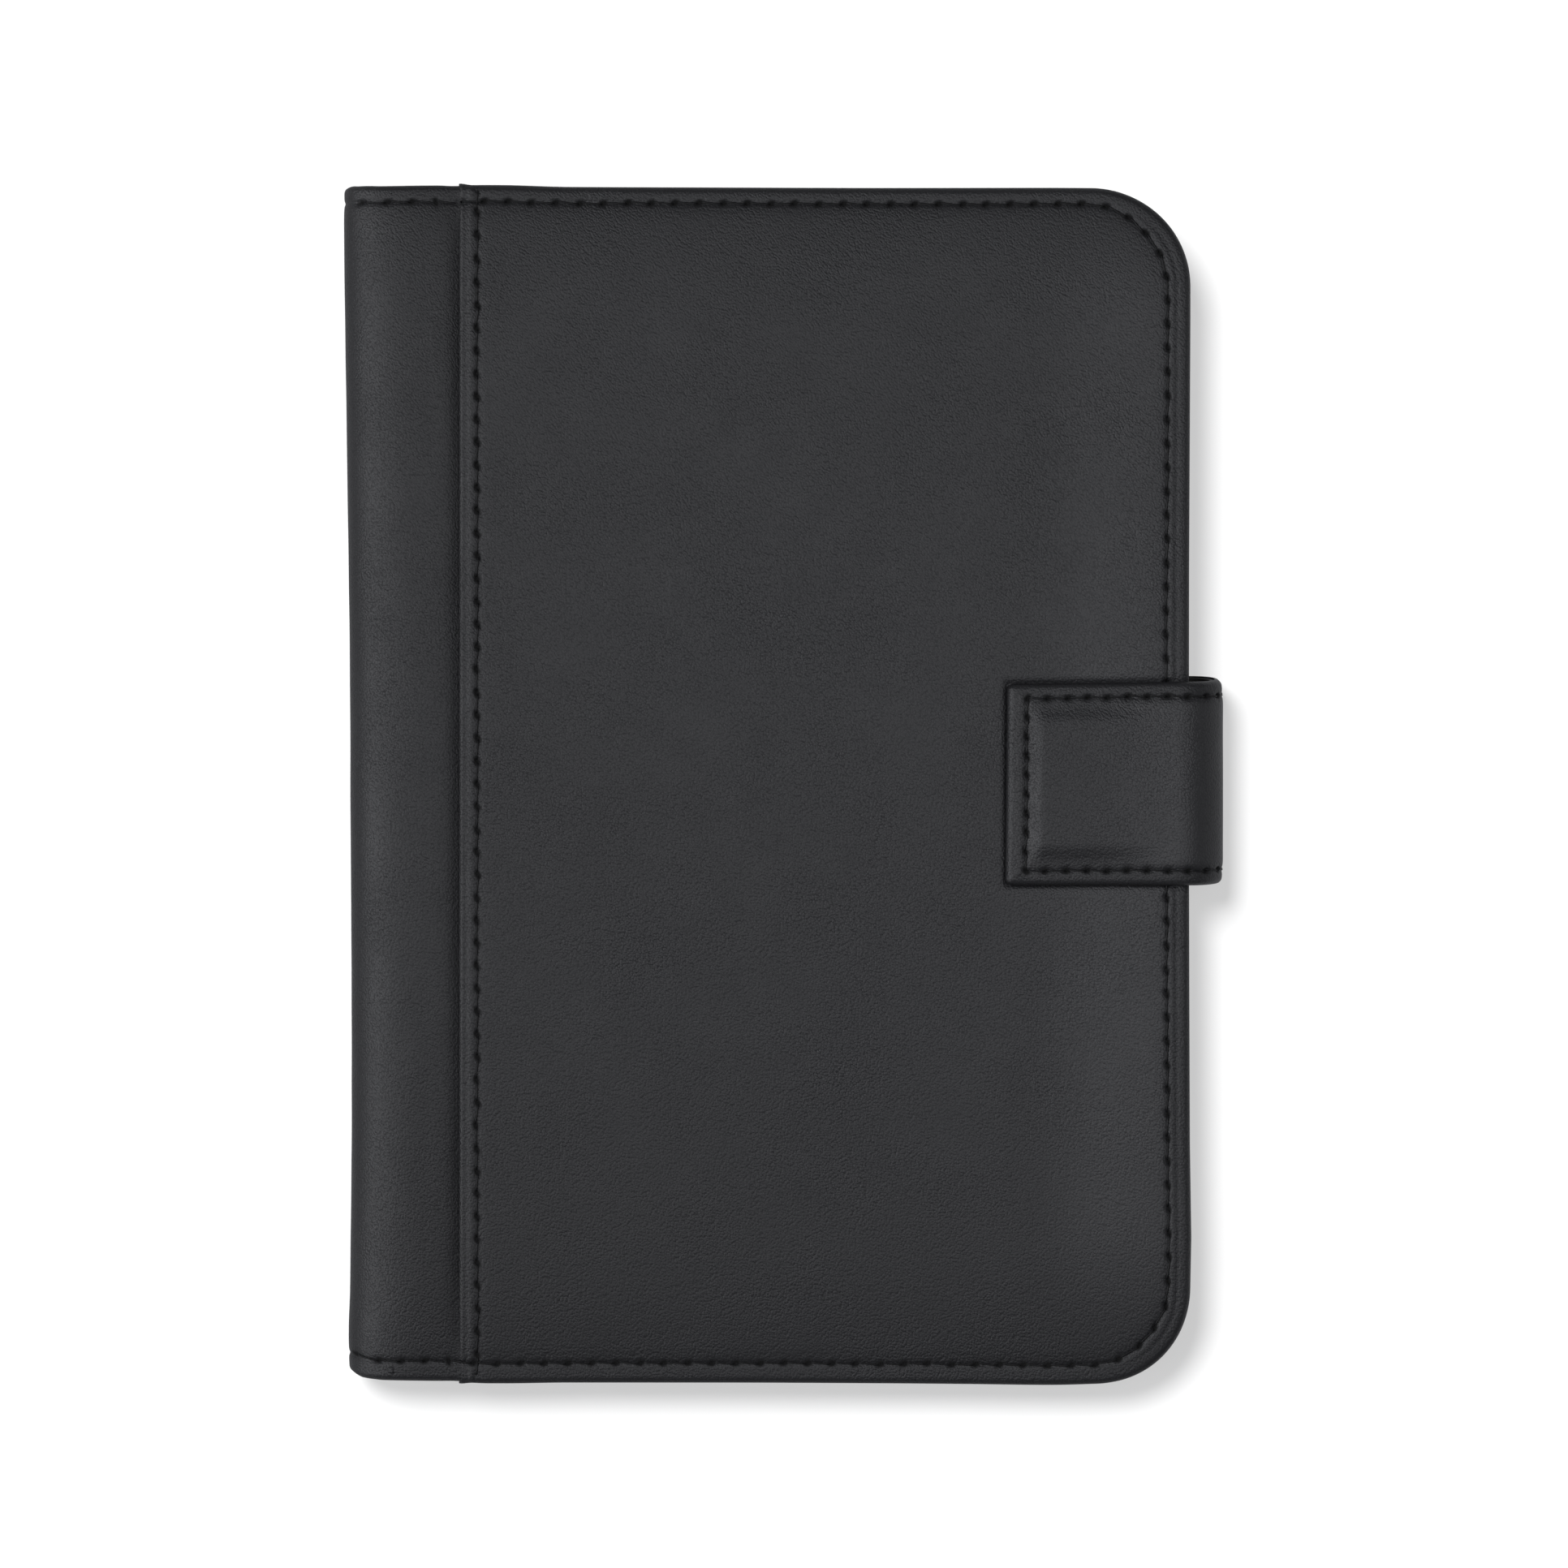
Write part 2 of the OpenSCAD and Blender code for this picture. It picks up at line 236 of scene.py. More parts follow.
def stitch_inset(nx, ny):
    """How far in from the outline the edge stitching runs, for an outward direction."""
    corner = 0.55 * (2 * nx * np.abs(ny)) ** 2
    return 3.12 * np.maximum(ny, 0) ** 2 + 3.72 * np.maximum(-ny, 0) ** 2 + 4.3 * nx ** 2 + corner


HEAD_U = [0, 1.1, 2, 3.6, 6.6, 17.4, 20.5, 23.5, 25.3, 29.6, 42, 72, 103, 133, 150]
HEAD_D = [0.45, 0.62, 0.56, 0.57, 0.48, 0.56, 0.46, 0.64, 0.66, 0.64, 0.3, 0.18, 0.09, 0.12, 0.0]
TAIL_U = [0, 1.1, 2, 2.9, 4.2, 6.6, 11.2, 17.4, 20.5, 23.5, 27, 30, 42, 72, 103, 118, 133, 145]
TAIL_D = [1.6, 0.95, 0.6, 0.44, 0.32, 0.15, 0.1, 0.04, 0.05, -0.3, -0.42, -0.42, -0.27, -0.28, -0.42, -0.55, -0.72, -0.4]


def outline_shift(u, y, lap=False):
    """Small wander of the real outline, fading out inside the panel."""
    top = pchip(u, HEAD_U, HEAD_D)
    bot = pchip(u, TAIL_U, TAIL_D)
    rgt = np.interp(y, [-100, -86, -68, -40, 0, 40, 88], [0.15, 0.42, 0.15, 0.05, -0.05, 0.0, 0.25])
    wt, wb, wr = smooth(24, 0, YT - y), smooth(24, 0, y - YB), smooth(24, 0, W - u)
    dy = wt * top + wb * bot
    if lap:
        tip = 0.46 * smooth(2.6, 0.0, u - FOLD)
        dy = dy + tip * (smooth(5, 0, YT - y) - smooth(5, 0, y - YB))
    du = wr * rgt
    return du, dy


# ------------------------------------------------------------------ where the stitches go
def walk(path, pitch, start=0.0):
    """Points every pitch mm along a polyline."""
    path = np.asarray(path, float)
    seg = np.linalg.norm(np.diff(path, axis=0), axis=1)
    s = np.concatenate([[0], np.cumsum(seg)])
    at = np.arange(start, s[-1], pitch)
    return np.column_stack([np.interp(at, s, path[:, k]) for k in range(2)])


def edge_path():
    """Line of the edge stitching, from the spine along the tail, up the fore-edge, back along the head."""
    wb, wt = stitch_inset(0.0, -1.0), stitch_inset(0.0, 1.0)
    pts = [(0.6, YB + wb + 1.0), (1.8, YB + wb + 0.35), (5.0, YB + wb + 0.1), (W - RB, YB + wb)]
    for k in range(1, 25):
        a = -math.pi / 2 + math.pi / 2 * k / 24
        w = stitch_inset(math.cos(a), math.sin(a))
        pts.append((W - RB + (RB - w) * math.cos(a), YB + RB + (RB - w) * math.sin(a)))
    for k in range(0, 24):
        a = math.pi / 2 * k / 24
        w = stitch_inset(math.cos(a), math.sin(a))
        pts.append((W - RT + (RT - w) * math.cos(a), YT - RT + (RT - w) * math.sin(a)))
    pts += [(W - RT, YT - wt), (12, YT - wt), (0.8, YT - wt - 0.1)]
    return pts


PITCH = 4.53
EDGE_HOLES = walk(edge_path(), PITCH, 0.9)
EDGE_HOLES = EDGE_HOLES + RNG.normal(0, 0.07, EDGE_HOLES.shape)
SEAM_HOLES = np.array([(SEAM, y) for y in np.arange(YB + 1.1, YT - 0.5, 4.31)])
SEAM_HOLES = SEAM_HOLES + RNG.normal(0, 0.07, SEAM_HOLES.shape)


def hole_field(u, y, holes, along=0.82, across=0.49, tilt=0.30):
    """1 at a hole, 0 away from it. The awl's cut is an almond, turned a little from the line of stitching."""
    u, y = np.ravel(u), np.ravel(y)
    out = np.zeros(len(u))
    t = np.gradient(np.asarray(holes, float), axis=0)
    ang = np.arctan2(t[:, 1], t[:, 0]) + tilt
    for (hu, hy), a in zip(holes, ang):
        k = np.nonzero((np.abs(u - hu) < 2.2) & (np.abs(y - hy) < 2.2))[0]
        if len(k):
            p, q = u[k] - hu, y[k] - hy
            l, w = p * math.cos(a) + q * math.sin(a), q * math.cos(a) - p * math.sin(a)
            out[k] = np.maximum(out[k], np.exp(-((l / along) ** 2 + (w / across) ** 2) ** 1.5))
    return out


# ------------------------------------------------------------------ heights of the front, from z = 0 at the top face
LUMPS = waves(3, 9, 26, 70, 0.035)
RIPPLE = waves(5, 10, 7, 16, 0.012)


def end_drop(y):
    """The leather rolls down towards the head and the tail, where the padding runs out."""
    return (1.08 * np.exp(-(np.clip(YT - y, 0, None) / 8.0) ** 1.3)
            + 1.22 * np.exp(-(np.clip(y - YB, 0, None) / 11.0) ** 1.5))


def bead(d, nx, ny):
    """Turned edge, from the outline inward, and the line that the stitches pull in."""
    w = stitch_inset(nx, ny)
    a = 1.3
    tail = np.clip(-ny, 0, 1) ** 2
    head = np.clip(ny, 0, 1) ** 2
    z = -(1.8 - 0.8 * tail - 0.55 * head) * (1 - np.sqrt(np.clip(1 - (1 - np.clip(d / a, 0, 1)) ** 2, 0, 1)))
    z = z - 0.19 * gauss(d, w, 0.42) - 0.13 * gauss(d, w + 0.2, 1.5)
    right = np.clip(nx, 0, 1) ** 2
    z = z - right * (0.17 * gauss(d, 2.55, 0.40) + 0.06 * gauss(d, 1.1, 0.8))
    z = z - (0.40 - 0.32 * tail - 0.32 * head) * np.exp(-np.maximum(d, 0) / 6.0)
    return z


STRAP_BOX = (125.2, -18.9, 18.8)     # tip of the closed strap, and its two sides


def strap_dent(u, y):
    """The closed strap presses its outline a little into the padded cover."""
    u0, y0, y1 = STRAP_BOX
    top = y1 + 0.012 * (u - u0)
    qx, qy = u0 - u, np.maximum(y0 - y, y - top)
    dist = np.where((qx > 0) & (qy > 0), np.hypot(qx, qy), np.maximum(qx, qy))
    return 0.46 * np.exp(-(np.maximum(dist - 0.1, 0) / 0.62) ** 1.4) * smooth(-6, -0.5, dist)


def front_height(u, y, dent=False):
    """Top of the front panel, with its dark holes as a mask."""
    u, y = np.ravel(u).astype(float), np.ravel(y).astype(float)
    d, nx, ny = edge_dist(u, y)
    z = bead(d, nx, ny)
    x = u - FOLD
    lap = np.clip(x / 0.9, 0, 1)
    z = z - 0.78 * (1 - np.sqrt(np.clip(1 - (1 - lap) ** 2, 0, 1)))
    z = z - 0.11 * gauss(x, SEAM - FOLD, 0.46) - 0.07 * gauss(x, SEAM - FOLD + 0.2, 1.4)
    z = z - 0.30 * smooth(2.5, 1.1, x) + 0.07 * gauss(x, 0.75, 0.42)
    z = z + 0.25 * smooth(W - 31, W - 13, u) * smooth(4, 22, YT - y) * smooth(4, 30, y - YB) - end_drop(y)
    h = np.maximum(hole_field(u, y, EDGE_HOLES), hole_field(u, y, SEAM_HOLES))
    z = z - 0.42 * h * (1 - 0.45 * np.clip(-ny, 0, 1) ** 2)
    inner = smooth(4.5, 12, d) * smooth(4, 10, x)
    z = z + LUMPS(u, y) * (0.35 + 0.65 * inner) + RIPPLE(u, y) * (1 - inner) * smooth(1.0, 3.0, d)
    if dent:
        z = z - strap_dent(u, y)
    return np.where(d > 0.6, np.maximum(z, -1.66), z), h


def painted_sheen_band(u, y):
    """Painted sheen: paler leather in a band along the fore-edge, more towards the tail, painted in as a highlight."""
    k = smooth(W - 31, W - 13, u) * (0.55 + 0.45 * smooth(60, -60, y)) * smooth(3, 24, YT - y)
    k = k + 0.16 * smooth(W - 70, W - 25, u) * smooth(70, -10, y)
    return k * smooth(2, 34, y - YB)


def ring_steps():
    return np.array([0, .07, .18, .33, .52, .76, 1.05, 1.4, 1.8, 2.2, 2.55, 2.85, 3.12, 3.4, 3.7, 4.0, 4.25, 4.5,
                     4.85, 5.3, 5.9, 6.7, 7.6])


def panel_plan(u0):
    """Grid in plan whose rows follow the outline round the corners."""
    e = ring_steps()
    left = np.array([0, .05, .13, .24, .38, .55, .8, 1.1, 1.45, 1.85, 2.2, 2.5, 2.8, 3.1, 3.45, 3.9, 4.5, 5.3, 6.2, 7.1])
    nx = int((W - u0 - e[-1] - left[-1]) / 0.92)
    xs = np.concatenate([u0 + left, np.linspace(u0 + left[-1], W - e[-1], nx + 1)[1:-1], W - e[::-1]])
    ny = int((YT - YB - 2 * e[-1]) / 0.92)
    ys = np.concatenate([YB + e, np.linspace(YB + e[-1], YT - e[-1], ny + 1)[1:-1], YT - e[::-1]])
    u, y = np.meshgrid(xs, ys)
    for s, c, R in ((1, YT - RT, RT), (-1, YB + RB, RB)):
        a, b = (u - (W - R)) / R, s * (y - c) / R
        k = (a > 0) & (b > 0)
        ak, bk = np.where(k, a, 1), np.where(k, b, 1)
        r = np.maximum(ak, bk)
        th = np.where(ak >= bk, math.pi / 4 * bk / ak, math.pi / 2 - math.pi / 4 * ak / bk)
        u = np.where(k, W - R + R * r * np.cos(th), u)
        y = np.where(k, c + s * R * r * np.sin(th), y)
    return u, y


def panel(name, flip, seed):
    """Leather panel of one cover: outside, turned edge, hem under it and inner face, closed."""
    u, y = panel_plan(FOLD)
    nr, nc = u.shape
    bm = bmesh.new()
    vs = [bm.verts.new((a, b, 0)) for a, b in zip(u.ravel(), y.ravel())]
    for f in grid_faces(nr, nc):
        bm.faces.new([vs[i] for i in f])
    bm.verts.index_update()
    co = np.array([v.co[:] for v in bm.verts])
    d, ex, ey = edge_dist(co[:, 0], co[:, 1])
    w = stitch_inset(ex, ey)
    near = ((np.abs(d - w) < 1.05) | (np.abs(co[:, 0] - SEAM) < 1.0)) & (d > 1.5)
    pick = [e for e in bm.edges if near[e.verts[0].index] and near[e.verts[1].index] and e.calc_length() > 0.5]
    bmesh.ops.subdivide_edges(bm, edges=pick, cuts=3, use_grid_fill=True)
    if not flip:
        # finer leather under the strap's outline
        u0, y0, y1 = STRAP_BOX
        mid = np.array([((e.verts[0].co + e.verts[1].co) / 2)[:] for e in bm.edges])
        qx = u0 - mid[:, 0]
        qy = np.maximum(y0 - mid[:, 1], mid[:, 1] - (y1 + 0.012 * (mid[:, 0] - u0)))
        dist = np.where((qx > 0) & (qy > 0), np.hypot(qx, qy), np.maximum(qx, qy))
        el = list(bm.edges)
        pick = [el[i] for i in np.nonzero((dist > -0.8) & (dist < 2.6) & (mid[:, 0] < W - 5.5))[0] if el[i].calc_length() > 0.5]
        bmesh.ops.subdivide_edges(bm, edges=pick, cuts=2, use_grid_fill=True)
    bm.verts.index_update()
    co = np.array([v.co[:] for v in bm.verts])
    faces = [tuple(v.index for v in f.verts) for f in bm.faces]
    bm.free()
    z, h = front_height(co[:, 0], co[:, 1], dent=not flip)
    du, dy = outline_shift(co[:, 0], co[:, 1], lap=True)
    top = np.column_stack([co[:, 0] + du, co[:, 1] + dy, T + z])
    d, ex, ey = edge_dist(co[:, 0], co[:, 1])
    # edge wear at the outline, plus the painted sheen band of the front panel; the stitch holes are taken off and
    # painted near-black as shade
    wear_and_sheen = 0.3 * gauss(d, 0.9, 0.8) + (np.zeros(len(d)) if flip else painted_sheen_band(co[:, 0], co[:, 1]) * smooth(3.9, 5.2, d))
    mask = np.concatenate([wear_and_sheen - 1.0 * h])
    # skirt: rings below the outline, each (inward, z) for the turned edge and for the fold at the seam
    b = np.array(border(nr, nc))
    ub, yb = u.ravel()[b], y.ravel()[b]
    db, nxb, nyb = edge_dist(ub, yb)
    isleft = np.isclose(ub, FOLD)
    hem = [(0.0, -2.2), (0.12, -2.65), (0.4, -3.1), (0.85, -3.42), (1.5, -3.56), (2.6, -3.6), (9.0, -3.55),
           (9.1, -3.2), (2.2, -3.2), (1.25, -3.1), (1.0, -2.7), (0.95, -1.9), (1.2, -1.66), (7.5, -1.64), (10.5, -1.6),
          (12.0, -1.08)]
    lap = [(0.02, -0.93), (0.08, -1.02), (0.25, -1.1), (0.6, -1.12), (1.2, -1.13), (2.4, -1.13), (4.2, -1.13),
           (4.3, -1.11), (4.2, -1.1), (3.6, -1.1), (3.0, -1.095), (2.8, -1.094), (2.7, -1.093), (2.6, -1.092),
           (2.5, -1.09), (2.4, -1.085)]
    tipw = np.where(isleft, smooth(0.0, 2.4, np.minimum(YT - yb, yb - YB)), 0.0)
    verts = [top]
    base = len(top)
    prev = b
    rim = top[b]
    drop = end_drop(yb)
    for (hi, hz), (li, lz) in zip(hem, lap):
        lz = lz - drop
        hz = np.minimum(hz, rim[:, 2] - T - 0.02) if hi < 0.2 else hz
        inw_e = np.column_stack([-nxb * hi, -nyb * hi])
        inw_e[:, 0] += np.where(isleft, 0.05 + 0.15 * hi, 0.0)
        zz = hz * (1 - tipw) + lz * tipw
        px = rim[:, 0] + inw_e[:, 0] * (1 - tipw) + li * tipw
        py = rim[:, 1] + inw_e[:, 1] * (1 - tipw)
        ring = np.column_stack([px, py, T + zz])
        cur = base + np.arange(len(b))
        for k in range(len(b)):
            j = (k + 1) % len(b)
            faces.append((prev[k], prev[j], cur[j], cur[k]))
        verts.append(ring)
        base += len(b)
        prev = cur
    faces.append(tuple(int(i) for i in prev[::-1]))
    v = np.concatenate(verts)
    m = np.concatenate([mask, np.full(len(v) - len(mask), 0.15)])
    if flip:
        v[:, 2] = np.maximum(T - v[:, 2], 0.0)
        faces = [f[::-1] for f in faces]
    return make(name, v, faces, mask=m)


# ------------------------------------------------------------------ spine roll
def roll_path():
    """Outer path of the spine leather from the middle of the spine to its hidden end, with normals."""
    n = 2.25
    t = np.linspace(0, math.pi / 2, 400)
    u = CREST * (1 - np.cos(t) ** (2 / n))
    z = T / 2 + (T / 2 - 0.03) * np.sin(t) ** (2 / n)
    u2 = np.linspace(CREST, 27.0, 300)[1:]
    z2 = T - 0.03 - pchip(u2, [CREST, 16.5, 18.4, 19.6, 20.5, 21.3, 22.2, 27], [0, 0.07, 0.24, 0.54, 0.94, 1.3, 1.36, 1.36])
    p = np.column_stack([np.concatenate([u, u2]), np.concatenate([z, z2])])
    s = np.concatenate([[0], np.cumsum(np.linalg.norm(np.diff(p, axis=0), axis=1))])
    end = s[-1]
    at = [0]
    while at[-1] < end:
        uu = np.interp(at[-1], s, p[:, 0])
        step = 0.5 if uu < CREST else (0.42 if uu < 22 else 1.2)
        at.append(at[-1] + step)
    at = np.array(at[:-1] + [end])
    q = np.column_stack([np.interp(at, s, p[:, 0]), np.interp(at, s, p[:, 1])])
    tg = np.gradient(q, axis=0)
    tg /= np.linalg.norm(tg, axis=1, keepdims=True)
    nm = np.column_stack([-tg[:, 1], tg[:, 0]])
    nm[0] = (-1, 0)
    return q, nm, at


ROLL, ROLL_N, ROLL_S = roll_path()
SPINE_HOLES = EDGE_HOLES[EDGE_HOLES[:, 0] < FOLD - 0.2]


def spine_shift(u, y):
    """The spine's outer face isn't quite straight."""
    s = pchip(y, [-113, -109, -104, -97, -87, -66, -36, -5, 15, 32, 52, 71, 87, 107, 113],
              [0.2, 0.05, 0.1, 0.34, 0.46, 0.64, 0.58, 0.40, 0.36, 0.22, -0.08, -0.39, -0.63, -0.86, -0.8])
    return s * smooth(13, 0, u)


def roll_surface(si, y):
    """Outer surface of the front half of the spine leather at path index si and height y."""
    q, n = ROLL[si], ROLL_N[si]
    u0 = q[:, 0]
    y0 = y
    d = np.minimum(YT - y0, y0 - YB)
    top = (YT - y0) < (y0 - YB)
    w = np.where(top, 3.12, 3.72)
    dep = 1.1 * (1 - np.sqrt(np.clip(1 - (1 - np.clip(d / 1.1, 0, 1)) ** 2, 0, 1)))
    dep = dep + 0.20 * gauss(d, w, 0.42) + 0.08 * gauss(d, w + 0.2, 1.4) + 0.08 * np.exp(-d / 5.0)
    h = hole_field(u0, y0, SPINE_HOLES)
    dep = dep + 0.32 * h
    dep = dep - 0.03 * np.sin(u0 * 0.5 + y0 * 0.05) * smooth(2, 8, d) - RIPPLE(u0 * 1.3, y0) * 1.2 * smooth(0.8, 3, d)
    du, dy = outline_shift(u0, y0)
    u = u0 - n[:, 0] * dep + spine_shift(u0, y0)
    drop = end_drop(y0)
    sunk = np.where(u0 > CREST, T - 0.03 - q[:, 1], 0.0)      # how far it dips under the panel's fold
    z = q[:, 1] - n[:, 1] * dep - drop * (q[:, 1] / (T / 2) - 1) + 0.6 * sunk * drop
    z = np.where((u0 > 9.5) & (d > 0.6), np.maximum(z, T - 1.66), z)
    yy = y0 + dy * np.where(u0 < 26, 1, 0)
    return np.column_stack([u, yy, z]), h, n


def spine_rows():
    e = np.array([0, .06, .16, .3, .48, .7, 1.0, 1.4, 1.8, 2.2, 2.55, 2.85, 3.12, 3.4, 3.7, 4.0, 4.3, 4.65, 5.2, 6.0, 7.0])
    n = int((YT - YB - 2 * e[-1]) / 0.9)
    return np.concatenate([YB + e, np.linspace(YB + e[-1], YT - e[-1], n + 1)[1:-1], YT - e[::-1]])


def spine_leather(name, flip):
    ys = spine_rows()
    ns = len(ROLL)
    si, yy = np.meshgrid(np.arange(ns), ys)
    v, h, n = roll_surface(si.ravel(), yy.ravel())
    v = v.reshape(len(ys), ns, 3)
    d = np.minimum(YT - yy, yy - YB)
    u0 = ROLL[si.ravel(), 0].reshape(si.shape)
    full = 1.4 + 0.6 * smooth(4, 9.6, u0) + (SLAB - 2.0) * smooth(7.4, 10.4, u0)
    full = full - np.where(u0 > CREST, T - ROLL[si.ravel(), 1].reshape(si.shape), 0.0)
    th = np.where(d < np.where(u0 > 9.0, 2.6, 1.35), full, 0.9)
    nn = n.reshape(len(ys), ns, 2)
    inner = v.copy()
    # the hem's own depth runs along the path's normal, on the undisturbed path
    q = ROLL[si.ravel()].reshape(len(ys), ns, 2)
    base_u = q[..., 0] + spine_shift(q[..., 0], yy)
    inner[..., 0] = base_u - nn[..., 0] * th
    hemmed = np.where(d < 2.6, smooth(2.0, 9.6, u0), 0.0)
    inner[..., 2] = q[..., 1] - nn[..., 1] * th - end_drop(yy) * (q[..., 1] / (T / 2) - 1) * (1 - hemmed)
    inner[..., 1] = np.where(d < 0.2, v[..., 1] - np.sign(yy) * 0.25, v[..., 1])
    # edge wear at head and tail, a paler band 3.6 mm in from the spine's outer face painted as a highlight on the roll,
    # and the stitch holes painted dark as shade
    mask = 0.2 * gauss(d, 0.9, 0.8) + 0.3 * gauss(u0, 3.6, 2.4) - h.reshape(si.shape)
    if flip:
        v, inner = v.copy(), inner.copy()
        v[..., 2] = np.maximum(T - v[..., 2], 0.0)
        inner[..., 2] = T - inner[..., 2]
    ob = slab(name, v, inner, mask=mask)
    return ob


# ------------------------------------------------------------------ thread
def tube(path, r, sides=10, twist=1.15, ply=0.2, up=(0, 0, 1)):
    """Twisted two-ply thread along a short path, with tapered ends."""
    path = np.asarray(path, float)
    n = len(path)
    tg = np.gradient(path, axis=0)
    tg /= np.linalg.norm(tg, axis=1, keepdims=True)
    b = np.cross(tg, np.asarray(up, float))
    b /= np.maximum(np.linalg.norm(b, axis=1, keepdims=True), 1e-9)
    c = np.cross(b, tg)
    s = np.concatenate([[0], np.cumsum(np.linalg.norm(np.diff(path, axis=0), axis=1))])
    a = np.arange(sides) / sides * 2 * math.pi
    taper = np.sqrt(np.clip(1 - (np.abs(np.linspace(-1, 1, n)) ** 6), 0.12, 1))
    rr = r * taper[:, None] * (1 - ply + 2 * ply * np.abs(np.cos(a[None, :] - math.pi * s[:, None] / twist)))
    v = path[:, None, :] + rr[..., None] * (np.cos(a)[None, :, None] * b[:, None, :] + np.sin(a)[None, :, None] * c[:, None, :])
    f = []
    for i in range(n - 1):
        for k in range(sides):
            j = (k + 1) % sides
            f.append((i * sides + k, i * sides + j, (i + 1) * sides + j, (i + 1) * sides + k))
    f.append(tuple(range(sides))[::-1])
    f.append(tuple((n - 1) * sides + k for k in range(sides)))
    return v.reshape(-1, 3), f


def stitch_run(holes, surf, normal, rng, r=0.17, lift=0.07, slant=0.17, dive=0.34, pts=13):
    """One stitch between each two holes: it leaves one hole, lies on the leather and dives into the next."""
    parts = []
    for a, b in zip(holes[:-1], holes[1:]):
        a, b = np.asarray(a, float), np.asarray(b, float)
        L = np.linalg.norm(b - a)
        if L > 6.5 or L < 1.5:
            continue
        t = (b - a) / L
        side = np.array([-t[1], t[0]])
        k = slant * rng.uniform(0.6, 1.3)
        f = np.linspace(0, 1, pts)
        gap = 0.3
        g = gap / L + f * (1 - 2 * gap / L)
        xy = a + (b - a) * g[:, None] + side * (k * (1 - 2 * f))[:, None]
        hump = np.clip(np.minimum(f, 1 - f) / 0.17, 0, 1)
        hump = hump * hump * (3 - 2 * hump)
        off = -dive + (dive + lift + rng.uniform(-0.02, 0.03)) * hump
        p = surf(xy[:, 0], xy[:, 1])
        n = normal(xy[:, 0], xy[:, 1])
        parts.append(tube(p + n * off[:, None], r * rng.uniform(0.94, 1.06), up=n.mean(0)))
    return join(parts)


def front_surf(u, y):
    d, nx, ny = edge_dist(u, y)
    z = bead(d, nx, ny) - 0.11 * gauss(u, SEAM, 0.46) + 0.25 * smooth(W - 31, W - 13, u) * smooth(4, 22, YT - y) * smooth(4, 30, y - YB) - end_drop(y) + LUMPS(u, y) * (0.35 + 0.65 * smooth(4.5, 12, d) * smooth(4, 10, u - FOLD))
    du, dy = outline_shift(u, y, lap=True)
    return np.column_stack([u + du, y + dy, T + z])


def up_normal(u, y):
    return np.tile([0.0, 0.0, 1.0], (len(np.atleast_1d(u)), 1))


def roll_surf(u, y):
    i = np.interp(u, ROLL[:, 0], np.arange(len(ROLL)))
    i = np.clip(np.round(i).astype(int), 0, len(ROLL) - 1)
    v, h, n = roll_surface(i, np.asarray(y, float))
    # take the dents out again: the thread lies over them
    n3 = np.column_stack([n[:, 0], np.zeros(len(n)), n[:, 1]])
    return v + n3 * (0.32 * h)[:, None]


def roll_normal(u, y):
    i = np.interp(u, ROLL[:, 0], np.arange(len(ROLL)))
    i = np.clip(np.round(i).astype(int), 0, len(ROLL) - 1)
    return np.column_stack([ROLL_N[i, 0], np.zeros(len(i)), ROLL_N[i, 1]])


def flip_v(v):
    v = np.array(v, float)
    v[:, 2] = T - v[:, 2]
    return v


# ------------------------------------------------------------------ strap
S_OUT = 165.8          # outer face of the strap's side
S_TOP = T + 2.5        # top face of the tab
TIP = 124.8
S_HALF = 19.05
LOWR, TOPR = 6.4, 8.9


def strap_path():
    """Outer face of the strap from its tongue in the back cover to the tab's tip, as (u, z) and normals."""
    pts = [(u, 0.9) for u in np.linspace(141, S_OUT - LOWR, 14)]
    c = (S_OUT - LOWR, 0.9 + LOWR)
    for a in np.radians(np.linspace(-90, 0, 24)[1:]):
        pts.append((c[0] + LOWR * math.cos(a), c[1] + LOWR * math.sin(a)))
    c2 = (S_OUT - TOPR, S_TOP - TOPR)
    z0, z1 = c[1], c2[1]
    pts += [(S_OUT, z) for z in np.linspace(z0, z1, 6)[1:-1]]
    for a in np.radians(np.linspace(0, 90, 32)):
        pts.append((c2[0] + TOPR * math.cos(a), c2[1] + TOPR * math.sin(a)))
    pts += [(u, S_TOP) for u in np.linspace(c2[0], TIP + 6, 50)[1:]]
    e = np.array([6, 5.1, 4.6, 4.2, 3.8, 3.5, 3.2, 2.9, 2.5, 2.1, 1.7, 1.3, 1.0, .72, .48, .3, .16, .07, .0])
    pts += [(TIP + k, S_TOP) for k in e[1:]]
    q = np.array(pts)
    tg = np.gradient(q, axis=0)
    tg /= np.linalg.norm(tg, axis=1, keepdims=True)
    nm = np.column_stack([tg[:, 1], -tg[:, 0]])
    s = np.concatenate([[0], np.cumsum(np.linalg.norm(np.diff(q, axis=0), axis=1))])
    return q, nm, s


SP, SN, SS = strap_path()
I_LOW_MID = int(np.argmin(np.abs(SP[:, 0] - (S_OUT - LOWR + LOWR * math.cos(math.radians(45)))) + 100 * (SP[:, 1] > 5)))
I_MID = int(np.argmin(np.abs(SS - (SS[np.argmax(SP[:, 0] > S_OUT - 1e-6)] + 1.2))))
TAB_LEN = SS[-1] - SS          # distance back from the tip, along the strap


